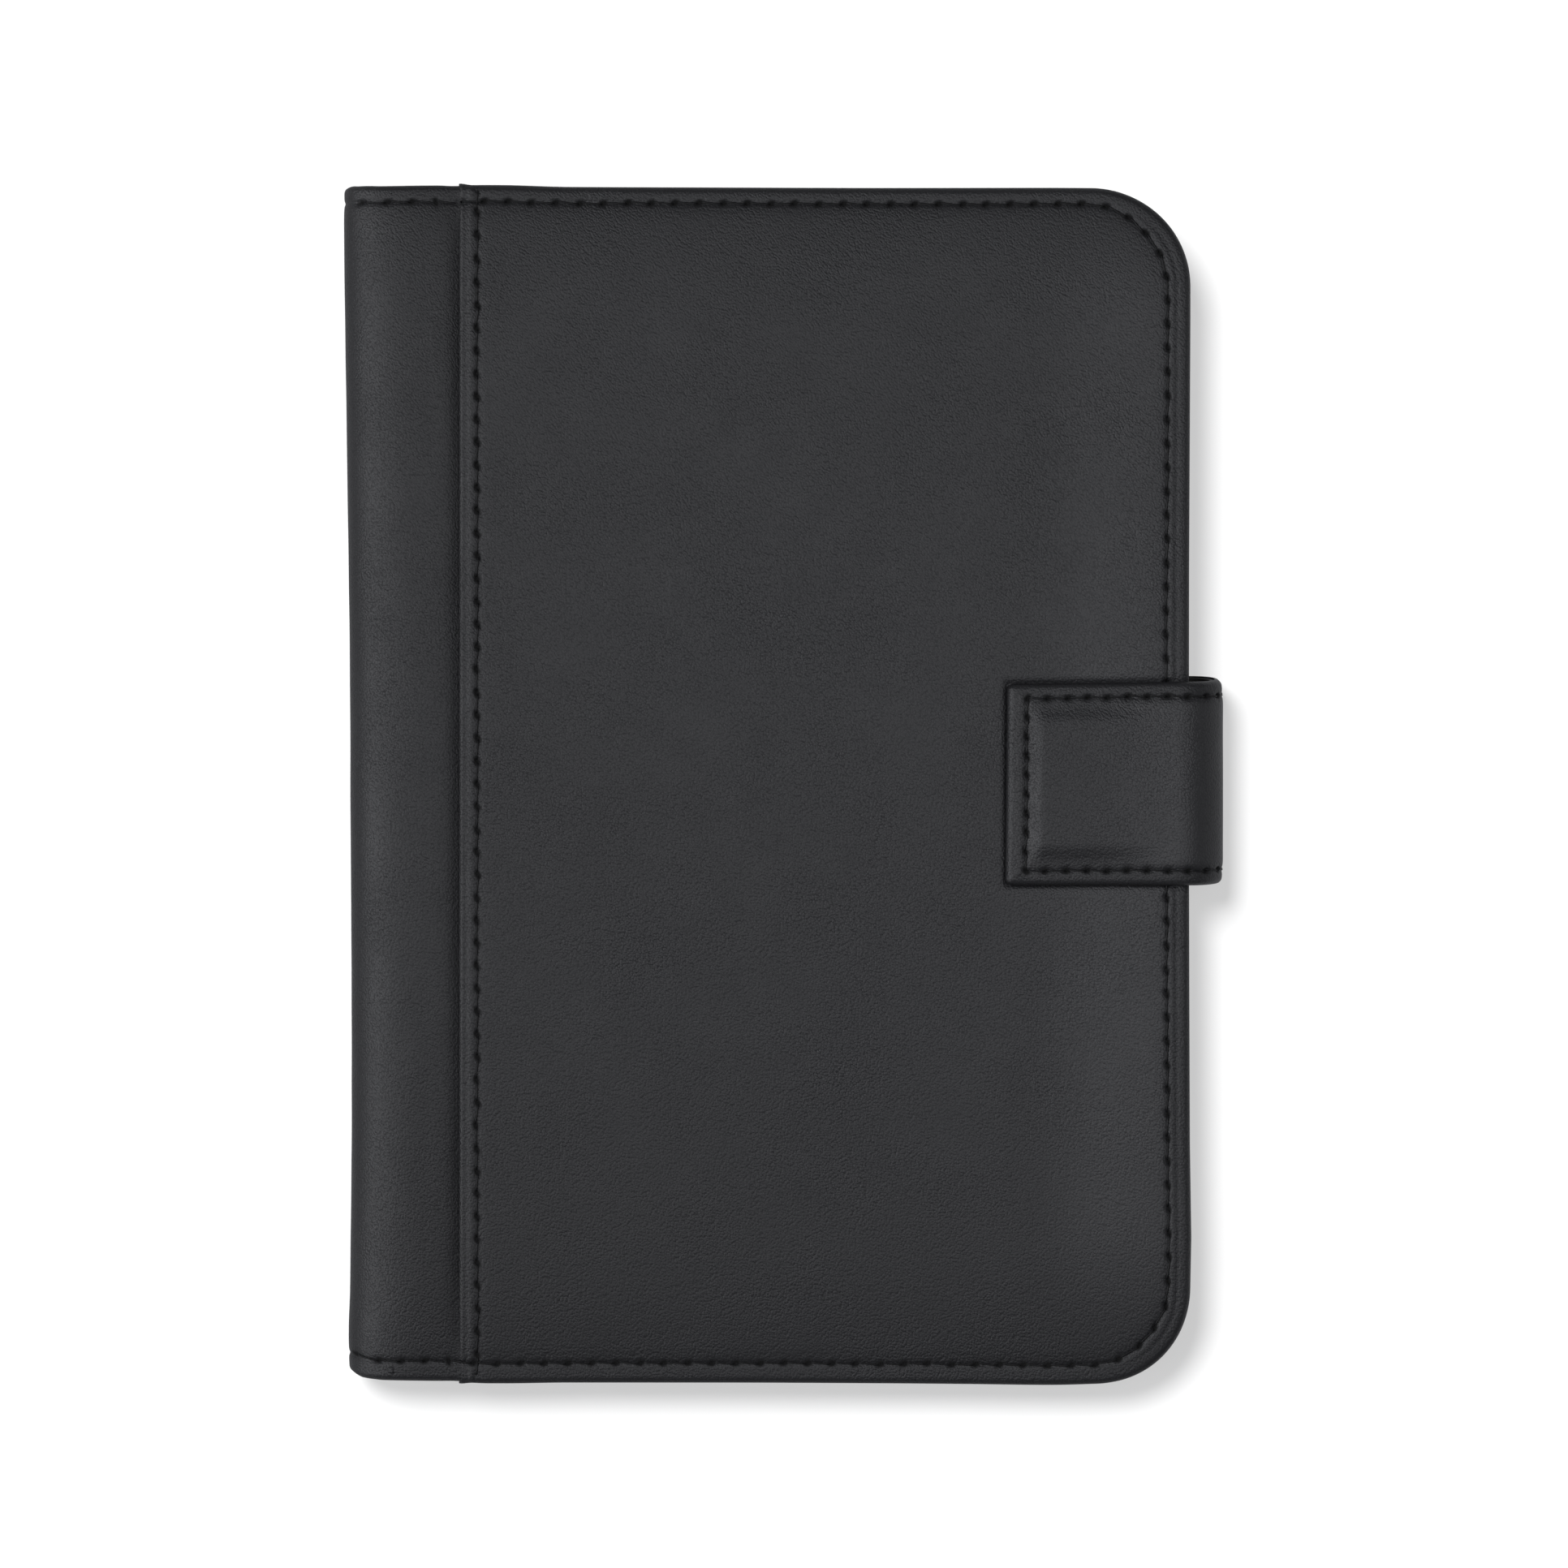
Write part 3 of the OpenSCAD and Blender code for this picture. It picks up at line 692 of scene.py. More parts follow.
def strap_dep(l, v):
    """Depth below the flat face: l is the distance from the tip, v across, both in mm."""
    e = S_HALF - np.abs(v)
    d = np.minimum(l, e)
    z = 1.15 * (1 - np.sqrt(np.clip(1 - (1 - np.clip(d / 1.05, 0, 1)) ** 2, 0, 1)))
    z = z + 0.42 * np.clip(1 - d / 2.7, 0, 1)
    # stitch line at 3.85 from the tip and 2.75 from the sides, with a corner
    ds = np.where(l > 3.85, np.abs(e - 2.75), 99)
    dt = np.where(e > 2.75, np.abs(l - 3.85), 99)
    near = np.minimum(ds, dt)
    z = z + 0.15 * np.exp(-(near / 0.42) ** 2) + 0.12 * np.exp(-(near / 1.1) ** 2)
    # magnet plate under the leather: a clear step towards the tip, a long soft run the other way
    ix = smooth(4.4, 7.0, l) * smooth(33.0, 17.5, l)
    iy = smooth(0, 3.8, 15.0 - np.abs(v))
    z = z - 0.74 * ix * iy - 0.3 * smooth(14, 38, l) * smooth(60, 44, l)
    return z


def strap_holes():
    out = []
    p = 3.82
    ls = np.arange(3.85, 62, p)
    side = S_HALF - 2.75
    for l in ls[::-1]:
        out.append((l, -side))
    n = 9
    for k in range(1, n):
        out.append((3.85, -side + 2 * side * k / n))
    for l in ls:
        out.append((l, side))
    return np.array(out) + np.random.default_rng(70).normal(0, 0.07, (len(out), 2))


STRAP_HOLES = strap_holes()


TIP_R = 1.3


def strap_point(l, v, dep):
    """Point on the strap: l from the tip, v across, dep below its outer face."""
    l, v = np.asarray(l, float), np.asarray(v, float)
    # rounded corners at the tip
    e = S_HALF - np.abs(v)
    a, b = (TIP_R - l) / TIP_R, (TIP_R - e) / TIP_R
    k = (a > 0) & (b > 0)
    ak, bk = np.where(k, a, 1.0), np.where(k, b, 1.0)
    r = np.maximum(ak, bk)
    th = np.where(ak >= bk, math.pi / 4 * bk / ak, math.pi / 2 - math.pi / 4 * ak / bk)
    l = np.where(k, TIP_R - TIP_R * r * np.cos(th), l)
    v = np.where(k, np.sign(v) * (S_HALF - TIP_R + TIP_R * r * np.sin(th)), v)
    s = SS[-1] - l
    q = np.column_stack([np.interp(s, SS, SP[:, 0]), np.interp(s, SS, SP[:, 1])])
    n = np.column_stack([np.interp(s, SS, SN[:, 0]), np.interp(s, SS, SN[:, 1])])
    n /= np.maximum(np.linalg.norm(n, axis=1, keepdims=True), 1e-9)
    f = v / S_HALF * 0.5 + 0.5
    head = -0.13 + 0.012 * l + 0.95 * smooth(36, 58, l)
    tail = -0.13 + 0.3 * smooth(36, 47, l) + 0.6 * smooth(50, 60, l)
    y = v + head * f + tail * (1 - f)
    u = q[:, 0] - n[:, 0] * dep
    u = u + 0.010 * v * smooth(36, 4, l)
    z = q[:, 1] - n[:, 1] * dep
    return np.column_stack([u, y, z])


def strap_cols():
    e = np.array([0, .06, .14, .26, .42, .62, .86, 1.1, 1.4, 1.7, 2.0, 2.3, 2.5, 2.7, 2.9, 3.15, 3.5, 4.1, 4.8])
    mid = np.linspace(-S_HALF + 4.8, S_HALF - 4.8, 38)
    return np.concatenate([-S_HALF + e, mid[1:-1], S_HALF - e[::-1]])


def strap_piece(name, i0, i1, d0, d1, outer=True, inset=0.0):
    """Leather (outer) or lining of the strap between two places on its path."""
    vs = strap_cols() * ((S_HALF - inset) / S_HALF)
    ls = TAB_LEN[i0:i1 + 1]
    # finer rows where stitches are
    fine = []
    for a, b in zip(ls[:-1], ls[1:]):
        n = max(1, int(round((a - b) / 0.36)))
        fine += list(np.linspace(a, b, n + 1)[:-1])
    ls = np.array(fine + [ls[-1]])
    L, V = np.meshgrid(ls, vs, indexing="ij")
    Lf, Vf = L.ravel(), V.ravel()
    rim = 0.0 if i1 < len(SP) - 1 else inset
    if outer:
        h = hole_field(Lf, Vf, STRAP_HOLES, 0.74, 0.50)
        dep = strap_dep(Lf, Vf) + 0.46 * h + RIPPLE(Lf * 1.4 + 40, Vf * 1.2) * 1.3
        face = strap_point(Lf, Vf, dep)
        back = strap_point(Lf, Vf, np.full(len(Lf), d1))
        e = np.minimum(S_HALF - np.abs(Vf), Lf)
        # painted sheen: a paler band along the tab, strongest 30 to 34 mm behind the tip, stands in for a highlight;
        # the paler rim near the edge is wear
        painted_strap_sheen = (0.1 + 0.9 * smooth(14, 30, Lf) * smooth(46, 34, Lf)) * smooth(3.0, 5.0, e) * (1 if i0 else 0)
        mask = 0.3 * gauss(e, 0.8, 0.6) + 0.9 * painted_strap_sheen - h
        if d1 > 1.0:
            k = e < 0.5
            back[k] = strap_point(Lf[k], Vf[k], np.maximum(d1, dep[k] + 0.05))
        return slab(name, face.reshape(L.shape + (3,)), back.reshape(L.shape + (3,)), mask=mask.reshape(L.shape))
    Lr = np.maximum(Lf, rim)
    e = np.minimum(S_HALF - inset - np.abs(Vf), np.where(Lr > rim, Lr - rim, 0.0) + 0.0)
    e = np.maximum(e, 0)
    edge = 0.3 * (1 - np.sqrt(np.clip(1 - (1 - np.clip(e / 0.35, 0, 1)) ** 2, 0, 1)))
    face = strap_point(Lr, Vf, d0 + 0 * Lr)
    back = strap_point(Lr, Vf, d1 - edge)
    return slab(name, face.reshape(L.shape + (3,)), back.reshape(L.shape + (3,)), mask=np.full(L.shape, 0.1))


def strap_thread(name, lo, hi, rng):
    """Stitches whose both holes lie between lo and hi from the tip."""
    parts = []
    H = STRAP_HOLES
    for a, b in zip(H[:-1], H[1:]):
        m = max(a[0], b[0])
        if not (lo <= min(a[0], b[0]) and m < hi):
            continue
        f = np.linspace(0, 1, 13)
        d = b - a
        Ld = np.linalg.norm(d)
        if Ld > 6:
            continue
        t = d / Ld
        side = np.array([-t[1], t[0]])
        k = 0.16 * rng.uniform(0.6, 1.3)
        g = 0.16 / Ld + f * (1 - 0.32 / Ld)
        xy = a + d * g[:, None] + side * (k * (1 - 2 * f))[:, None]
        hump = np.clip(np.minimum(f, 1 - f) / 0.2, 0, 1)
        hump = hump * hump * (3 - 2 * hump)
        off = -0.34 + (0.34 + 0.06) * hump
        p = strap_point(xy[:, 0], xy[:, 1], strap_dep(xy[:, 0], xy[:, 1]) - off)
        s = SS[-1] - xy[:, 0]
        n = np.column_stack([np.interp(s, SS, SN[:, 0]), 0 * s, np.interp(s, SS, SN[:, 1])])
        parts.append(tube(p, 0.165 * rng.uniform(0.94, 1.06), up=n.mean(0)))
    v, f = join(parts)
    return make(name, v, f)


# ------------------------------------------------------------------ materials
def new_mat(name):
    m = bpy.data.materials.new(name)
    m.use_nodes = True
    nt = m.node_tree
    nt.nodes.clear()
    out = nt.nodes.new("ShaderNodeOutputMaterial")
    b = nt.nodes.new("ShaderNodeBsdfPrincipled")
    nt.links.new(b.outputs[0], out.inputs[0])
    return m, nt, b


class Tree:
    """Short hand for building node trees."""

    def __init__(self, nt):
        self.nt = nt

    def node(self, kind, **kw):
        n = self.nt.nodes.new(kind)
        for k, v in kw.items():
            setattr(n, k, v)
        return n

    def link(self, a, b):
        self.nt.links.new(a, b)

    def put(self, sock, val):
        if hasattr(val, "is_output"):
            self.link(val, sock)
        else:
            sock.default_value = val

    def math(self, op, a, b=0.0, c=0.0, clamp=False):
        n = self.node("ShaderNodeMath", operation=op, use_clamp=clamp)
        for i, x in enumerate((a, b, c)):
            self.put(n.inputs[i], x)
        return n.outputs[0]

    def mix(self, f, a, b):
        n = self.node("ShaderNodeMix", data_type="RGBA")
        self.put(n.inputs[0], f)
        self.put(n.inputs[6], a)
        self.put(n.inputs[7], b)
        return n.outputs[2]

    def coords(self, per_m=1000.0):
        tc = self.node("ShaderNodeTexCoord")
        m = self.node("ShaderNodeVectorMath", operation="SCALE")
        m.inputs[3].default_value = per_m
        self.link(tc.outputs["Object"], m.inputs[0])
        return m.outputs[0]

    def noise(self, v, scale, detail=2.0, rough=0.5, col=False):
        n = self.node("ShaderNodeTexNoise")
        self.link(v, n.inputs["Vector"])
        n.inputs["Scale"].default_value = scale
        n.inputs["Detail"].default_value = detail
        n.inputs["Roughness"].default_value = rough
        return n.outputs["Color" if col else "Fac"]

    def ramp(self, f, stops):
        n = self.node("ShaderNodeValToRGB")
        self.link(f, n.inputs[0])
        e = n.color_ramp.elements
        while len(e) < len(stops):
            e.new(0.5)
        for i, (p, c) in enumerate(stops):
            e[i].position = p
            e[i].color = (c, c, c, 1) if not hasattr(c, "__len__") else (*c, 1)
        return n.outputs[0]

    def bump(self, h, dist, strength=1.0, prev=None):
        n = self.node("ShaderNodeBump")
        n.inputs["Strength"].default_value = strength
        n.inputs["Distance"].default_value = dist
        self.link(h, n.inputs["Height"])
        if prev is not None:
            self.link(prev, n.inputs["Normal"])
        return n.outputs[0]


def leather_mat(name, dark, light, rough=0.5, grain=0.6, depth=8.0e-5, spec=0.5, micro=1.2e-5):
    """Corrected-grain leather: small pebbles drawn out a little along one slant, with fine creases between."""
    m, nt, b = new_mat(name)
    t = Tree(nt)
    v = t.coords()
    warp = t.node("ShaderNodeVectorMath", operation="MULTIPLY_ADD")
    t.link(t.noise(v, 0.55, 1, 0.5, col=True), warp.inputs[0])
    warp.inputs[1].default_value = (0.4, 0.4, 0.4)
    t.link(v, warp.inputs[2])
    rot = t.node("ShaderNodeVectorRotate", rotation_type="Z_AXIS")
    t.link(warp.outputs[0], rot.inputs["Vector"])
    rot.inputs["Angle"].default_value = math.radians(57)
    sq = t.node("ShaderNodeVectorMath", operation="MULTIPLY")
    t.link(rot.outputs[0], sq.inputs[0])
    sq.inputs[1].default_value = (0.76, 1.0, 1.0)
    g = sq.outputs[0]
    vor = t.node("ShaderNodeTexVoronoi", feature="F1")
    t.link(g, vor.inputs["Vector"])
    vor.inputs["Scale"].default_value = 1.0 / grain
    dd = t.math("MULTIPLY", vor.outputs["Distance"], vor.outputs["Distance"])
    peb = t.math("MULTIPLY_ADD", dd, -1.3, 1.0, clamp=True)
    mid = t.noise(g, 2.9, 2, 0.6)
    fine = t.noise(v, 4.6, 2, 0.6)
    patch = t.noise(v, 0.05, 2, 0.5)
    amt = t.math("MULTIPLY_ADD", patch, 1.3, 0.35)
    h = t.math("MULTIPLY_ADD", peb, 0.9, t.math("MULTIPLY", mid, 0.45))
    h = t.math("MULTIPLY", h, amt)
    n1 = t.bump(h, depth)
    n2 = t.bump(fine, micro, prev=n1)
    # the attribute carries edge wear plus painted light: sheen and highlight bands where positive, painted hole shade
    # where negative
    att = t.node("ShaderNodeAttribute", attribute_name="wear_and_painted_light")
    wear_and_sheen = t.math("MAXIMUM", att.outputs["Fac"], 0.0)
    hole = t.math("MAXIMUM", t.math("MULTIPLY", att.outputs["Fac"], -1.0), 0.0, clamp=True)
    hole = t.math("MULTIPLY", hole, 1.5, clamp=True)
    tone = t.math("MULTIPLY_ADD", t.noise(v, 0.03, 3, 0.55), 0.8, 0.0, clamp=True)
    # pebble tops paler and the valleys between them darker: painted shade in the grain's valleys
    tone = t.math("MULTIPLY_ADD", peb, 0.3, tone, clamp=True)
    tone = t.math("MULTIPLY_ADD", wear_and_sheen, 0.3, tone, clamp=True)
    c = t.mix(tone, (*dark, 1), (*light, 1))
    # paler colour for edge wear and for the painted sheen and highlight bands
    c = t.mix(t.math("MULTIPLY", wear_and_sheen, 0.85, clamp=True), c, (0.027, 0.027, 0.029, 1))
    # stitch holes painted near-black: painted shade inside the awl cuts
    c = t.mix(hole, c, (0.0012, 0.0012, 0.0012, 1))
    t.link(c, b.inputs["Base Color"])
    r = t.math("MULTIPLY_ADD", t.noise(v, 0.12, 3, 0.6), 0.12, rough - 0.06)
    r = t.math("MULTIPLY_ADD", fine, 0.08, t.math("SUBTRACT", r, 0.04))
    r = t.math("MULTIPLY_ADD", wear_and_sheen, -0.05, r)
    r = t.math("MULTIPLY_ADD", peb, -0.10, t.math("ADD", r, 0.05))
    r = t.math("MULTIPLY_ADD", hole, 0.5, r, clamp=True)
    t.link(r, b.inputs["Roughness"])
    b.inputs["Specular IOR Level"].default_value = spec
    t.link(n2, b.inputs["Normal"])
    return m


def thread_mat():
    m, nt, b = new_mat("black_thread")
    t = Tree(nt)
    v = t.coords()
    f = t.noise(v, 7.0, 2, 0.6)
    c = t.mix(f, (0.0025, 0.0025, 0.0028, 1), (0.009, 0.009, 0.01, 1))
    t.link(c, b.inputs["Base Color"])
    glint = t.math("MULTIPLY_ADD", t.noise(v, 0.9, 2, 0.5), 1.6, -0.3, clamp=True)
    t.link(t.math("MULTIPLY_ADD", glint, 0.35, 0.38), b.inputs["Roughness"])
    t.link(t.bump(f, 1.2e-5), b.inputs["Normal"])
    b.inputs["Specular IOR Level"].default_value = 0.32
    return m


def cloth_mat(name, dark, light, per_mm=1.6, depth=2.5e-5):
    """Fine plain weave."""
    m, nt, b = new_mat(name)
    t = Tree(nt)
    v = t.coords()
    sep = t.node("ShaderNodeSeparateXYZ")
    t.link(v, sep.inputs[0])
    k = per_mm * 2 * math.pi
    sx = t.math("SINE", t.math("MULTIPLY", sep.outputs[0], k))
    sy = t.math("SINE", t.math("MULTIPLY", sep.outputs[1], k))
    wv = t.math("MULTIPLY", sx, sy)
    fuzz = t.noise(v, 3.5, 3, 0.6)
    h = t.math("MULTIPLY_ADD", wv, 0.4, fuzz)
    c = t.mix(t.math("MULTIPLY_ADD", h, 0.5, 0.25, clamp=True), (*dark, 1), (*light, 1))
    t.link(c, b.inputs["Base Color"])
    t.link(t.math("MULTIPLY_ADD", fuzz, 0.15, 0.72), b.inputs["Roughness"])
    t.link(t.bump(h, depth), b.inputs["Normal"])
    b.inputs["Sheen Weight"].default_value = 0.15
    return m


def paper_mat(name, ruled):
    m, nt, b = new_mat(name)
    t = Tree(nt)
    v = t.coords()
    f = t.noise(v, 1.8, 4, 0.6)
    big = t.noise(v, 0.02, 2, 0.5)
    c = t.mix(f, (0.74, 0.71, 0.62, 1), (0.80, 0.77, 0.69, 1))
    c = t.mix(t.math("MULTIPLY", big, 0.3), c, (0.86, 0.83, 0.76, 1))
    sep = t.node("ShaderNodeSeparateXYZ")
    t.link(v, sep.inputs[0])
    if ruled:
        ph = t.math("FRACT", t.math("MULTIPLY_ADD", sep.outputs[1], 1 / 7.0, 100.25))
        line = t.math("LESS_THAN", t.math("ABSOLUTE", t.math("SUBTRACT", ph, 0.5)), 0.016)
        inside = t.math("LESS_THAN", t.math("ABSOLUTE", sep.outputs[1]), 90.0)
        geo = t.node("ShaderNodeNewGeometry")
        sn = t.node("ShaderNodeSeparateXYZ")
        t.link(geo.outputs["Normal"], sn.inputs[0])
        flat = t.math("GREATER_THAN", t.math("ABSOLUTE", sn.outputs[2]), 0.9)
        k = t.math("MULTIPLY", t.math("MULTIPLY", line, inside), flat)
        c = t.mix(t.math("MULTIPLY", k, 0.55), c, (0.33, 0.37, 0.44, 1))
    t.link(c, b.inputs["Base Color"])
    t.link(t.math("MULTIPLY_ADD", f, 0.1, 0.78), b.inputs["Roughness"])
    t.link(t.bump(f, 1.5e-5), b.inputs["Normal"])
    return m


def board_mat(name, a, bcol, scale=1.2):
    m, nt, b = new_mat(name)
    t = Tree(nt)
    v = t.coords()
    f = t.noise(v, scale, 5, 0.65)
    spots = t.noise(v, scale * 4, 2, 0.5)
    c = t.mix(f, (*a, 1), (*bcol, 1))
    c = t.mix(t.math("MULTIPLY", t.math("GREATER_THAN", spots, 0.68), 0.35), c, (a[0] * 0.6, a[1] * 0.6, a[2] * 0.6, 1))
    t.link(c, b.inputs["Base Color"])
    t.link(t.math("MULTIPLY_ADD", f, 0.12, 0.8), b.inputs["Roughness"])
    t.link(t.bump(f, 4e-5), b.inputs["Normal"])
    return m


def steel_mat():
    m, nt, b = new_mat("plain_steel")
    t = Tree(nt)
    v = t.coords()
    f = t.noise(v, 2.5, 4, 0.6)
    c = t.mix(f, (0.42, 0.42, 0.44, 1), (0.56, 0.56, 0.58, 1))
    t.link(c, b.inputs["Base Color"])
    b.inputs["Metallic"].default_value = 1.0
    t.link(t.math("MULTIPLY_ADD", f, 0.2, 0.25), b.inputs["Roughness"])
    t.link(t.bump(f, 6e-6), b.inputs["Normal"])
    return m


M_OUT = leather_mat("outer_leather", (0.0070, 0.0070, 0.0082), (0.0115, 0.0115, 0.0134), rough=0.50, grain=0.37, depth=7.2e-5)
M_IN = leather_mat("inner_leather", (0.0085, 0.0085, 0.0096), (0.0145, 0.0145, 0.0160), rough=0.58, grain=0.5, depth=5.0e-5)
M_SLIN = leather_mat("strap_lining_leather", (0.008, 0.008, 0.009), (0.0125, 0.0125, 0.0135), rough=0.64, grain=0.45, depth=4.0e-5)
M_THREAD = thread_mat()
M_LIN = cloth_mat("lining_cloth", (0.012, 0.012, 0.013), (0.03, 0.03, 0.032))
M_TAPE = cloth_mat("binding_cloth", (0.01, 0.01, 0.011), (0.028, 0.028, 0.03), per_mm=1.1, depth=4e-5)
M_PAPER = paper_mat("writing_paper", True)
M_CARD = board_mat("kraft_card", (0.30, 0.21, 0.12), (0.42, 0.31, 0.19))
M_BOARD = board_mat("grey_board", (0.20, 0.18, 0.15), (0.34, 0.31, 0.27), 0.9)
M_FOAM = board_mat("black_foam", (0.02, 0.02, 0.02), (0.05, 0.05, 0.05), 2.5)
M_STEEL = steel_mat()


def dress(ob, mat, body=None, nodes=()):
    ob.data.materials.clear()
    ob.data.materials.append(mat)
    if body:
        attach(ob, body)
    if nodes:
        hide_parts(*nodes)
    return ob


def P(u, y, z):
    return ((u - X0) / 1000, y / 1000, z / 1000)


# ------------------------------------------------------------------ covers
BACK_KW = [("front", False, "front_cover"), ("back", True, "back_cover")]
for side, flip, body in BACK_KW:
    pan = panel(side + "_panel", flip, 11)
    dress(pan, M_OUT, body, [side + "_leather"])
    sp = spine_leather(side + "_spine_leather", flip)
    dress(sp, M_OUT, None,
          [side + "_spine_flap"] + (["spine_leather"] if side == "front" else []))
    z = (lambda q: T - q) if flip else (lambda q: q)
    HINGE = dict(start=P(0.9, 0, z(10.4)), end=P(6.6, 0, z(15.2)))
    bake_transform(sp)

    # perimeter stitches on the panel, from the last hole on the spine leather at each end
    on = EDGE_HOLES[:, 0] > FOLD - 0.2
    i0, i1 = np.nonzero(on)[0][[0, -1]]
    run = EDGE_HOLES[max(i0, 0):i1 + 1]
    v, f = stitch_run(run, front_surf, up_normal, np.random.default_rng(21))
    tip1, tip2 = EDGE_HOLES[i0 - 1:i0 + 1], EDGE_HOLES[i1:i1 + 2]
    v2, f2 = stitch_run(SEAM_HOLES, front_surf, up_normal, np.random.default_rng(22))
    if flip:
        v, v2 = flip_v(v), flip_v(v2)
        v[:, 2] = np.maximum(v[:, 2], 0.02)
        v2[:, 2] = np.maximum(v2[:, 2], 0.02)
    et = dress(make(side + "_edge_stitches", v, f), M_THREAD, body, [side + "_edge_thread"])
    st = dress(make(side + "_seam_stitches", v2, f2), M_THREAD, body, [side + "_seam_thread"])

    # stitches over the spine leather, at tail and head
    parts = []
    for part, extra in ((EDGE_HOLES[:i0], None), (EDGE_HOLES[i1 + 1:], None)):
        if len(part) > 1:
            parts.append(stitch_run(part, roll_surf, roll_normal, np.random.default_rng(23)))
    for pair in (tip1, tip2):
        parts.append(stitch_run(pair, lambda a, b: np.where((a < FOLD)[:, None], roll_surf(a, b), front_surf(a, b)),
                                up_normal, np.random.default_rng(24)))
    v, f = join(parts)
    if flip:
        v = flip_v(v)
        v[:, 2] = np.maximum(v[:, 2], 0.02)
    ss = dress(make(side + "_spine_stitches", v, f), M_THREAD, None,
               ["spine_thread"] if side == "front" else [])
    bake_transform(ss)

    # lining of the cover, turned in inside the leather hem
    zl0, zl1 = T - SLAB - 0.02, T - SLAB + 0.5
    loop = rect_loop(9.6, W - 2.1, YB + 2.1, YT - 2.1, (0.5, RB - 2.1, RT - 2.1, 0.5), step=3.0, arc=14)
    v, f = plate(loop, zl0, zl1, soft=0.2)
    if flip:
        v = flip_v(v)
    ln = dress(make(side + "_cover_lining", v, f), M_LIN, body, [side + "_lining"])

    # lining over the hinge
    ys = np.concatenate([[YB + 1.6, YB + 1.75, YB + 2.1], np.arange(YB + 4, YT - 3.9, 3.0), [YT - 2.1, YT - 1.75, YT - 1.6]])
    k = np.nonzero(ROLL[:, 0] < 10.4)[0]
    si, yy = np.meshgrid(k, ys)
    q, n = ROLL[si.ravel()], ROLL_N[si.ravel()]
    a = 1.55 + 1.35 * smooth(6.5, 10.2, q[:, 0])
    edge = np.minimum(yy.ravel() - ys[0], ys[-1] - yy.ravel())
    lip = 0.16 * smooth(0.4, 0.0, edge)
    du = spine_shift(q[:, 0], yy.ravel())
    o = np.column_stack([q[:, 0] + du - n[:, 0] * (a + lip), yy.ravel(), q[:, 1] - n[:, 1] * (a + lip)])
    i = np.column_stack([q[:, 0] + du - n[:, 0] * (a + 0.5 - lip), yy.ravel(), q[:, 1] - n[:, 1] * (a + 0.5 - lip)])
    if flip:
        o, i = flip_v(o), flip_v(i)
    hl = slab(side + "_hinge_lining", o.reshape(si.shape + (3,)), i.reshape(si.shape + (3,)))
    dress(hl, M_LIN, None, ["spine_lining"] if side == "front" else [])
    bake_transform(hl)

# stiffener inside the spine
v, f = plate(rect_loop(1.0, 1.5, YB + 4, YT - 4, (0.2,) * 4, step=6, arc=4), 7.1, 10.3, soft=0.1)
v[:, 0] += spine_shift(0 * v[:, 0], v[:, 1])
dress(make("spine_strip", v, f), M_BOARD, "spine", ["spine_stiffener"])

# ------------------------------------------------------------------ pockets, slots and sleeve
INNER = T - SLAB          # inner face of the front cover


def inner_stitches(name, pts, z, down, body, pitch=3.6, seed=40, closed=False):
    holes = walk(pts, pitch, 0.6)
    s = -1.0 if down else 1.0
    surf = lambda u, y: np.column_stack([u, y, np.full(len(u), z)])
    norm = lambda u, y: np.tile([0.0, 0.0, s], (len(u), 1))
    v, f = stitch_run(holes, surf, norm, np.random.default_rng(seed), r=0.17, lift=0.08, slant=0.08, dive=0.12)
    return v, f


pk = rect_loop(52, W - 2.0, YB + 2.0, YT - 2.0, (0.3, RB - 2.0, RT - 2.0, 0.3), step=2.5, arc=14)
v, f = plate(pk, INNER - 0.6, INNER - 0.04, soft=0.2)
dress(make("front_pocket_panel", v, f), M_IN, "front_cover", ["front_pocket"])
v, f = plate(rect_loop(52.05, 56.5, YB + 3, YT - 3, (0.2,) * 4, step=3), INNER - 0.78, INNER - 0.5, soft=0.14)
v2, f2 = inner_stitches("x", [(54.8, YB + 4), (54.8, YT - 4)], INNER - 0.78, True, "front_cover", seed=41)
dress(make("front_pocket_hem", v, f), M_IN, "front_cover")
parts = [(v2, f2)]
for n, (nm, y1) in enumerate((("upper", 75), ("middle", 59), ("lower", 43))):
    zt = INNER - 0.6 - 0.5 * n
    v, f = plate(rect_loop(57.5, 149.5, 30, y1, (1.2, 1.2, 0.25, 0.25), step=2.5), zt - 0.46, zt - 0.02, soft=0.16)
    a = plate(rect_loop(57.7, 149.3, y1 - 3.4, y1 - 0.02, (0.2,) * 4, step=2.5), zt - 0.56, zt - 0.3, soft=0.12)
    v, f = join([(v, f), a])
    dress(make("card_slot_%s_leather" % nm, v, f), M_IN, "front_cover", ["card_slot_" + nm])
    parts.append(inner_stitches("x", [(58.5, y1 - 2.4), (148.5, y1 - 2.4)], zt - 0.56, True, "front_cover", seed=42 + n))
parts.append(inner_stitches("x", [(58.9, 42), (58.9, 31.4), (148.1, 31.4), (148.1, 42)], INNER - 0.6 - 1.46, True, "front_cover", seed=46))
# the edge stitching shows inside too, on the lining and on the pocket
ins = EDGE_HOLES[(EDGE_HOLES[:, 0] > 11)]
zin = lambda u, y: np.column_stack([u, y, np.where(u < 51.5, INNER - 0.02, INNER - 0.6)])
dn = lambda u, y: np.tile([0.0, 0.0, -1.0], (len(u), 1))
keep = [h for h in ins if abs(h[0] - 51.8) > 0.8]
parts.append(stitch_run(np.array(keep), zin, dn, np.random.default_rng(47), r=0.18, lift=0.06, slant=0.08, dive=0.15))
v, f = join(parts)
dress(make("front_inner_stitches", v, f), M_THREAD, "front_cover")

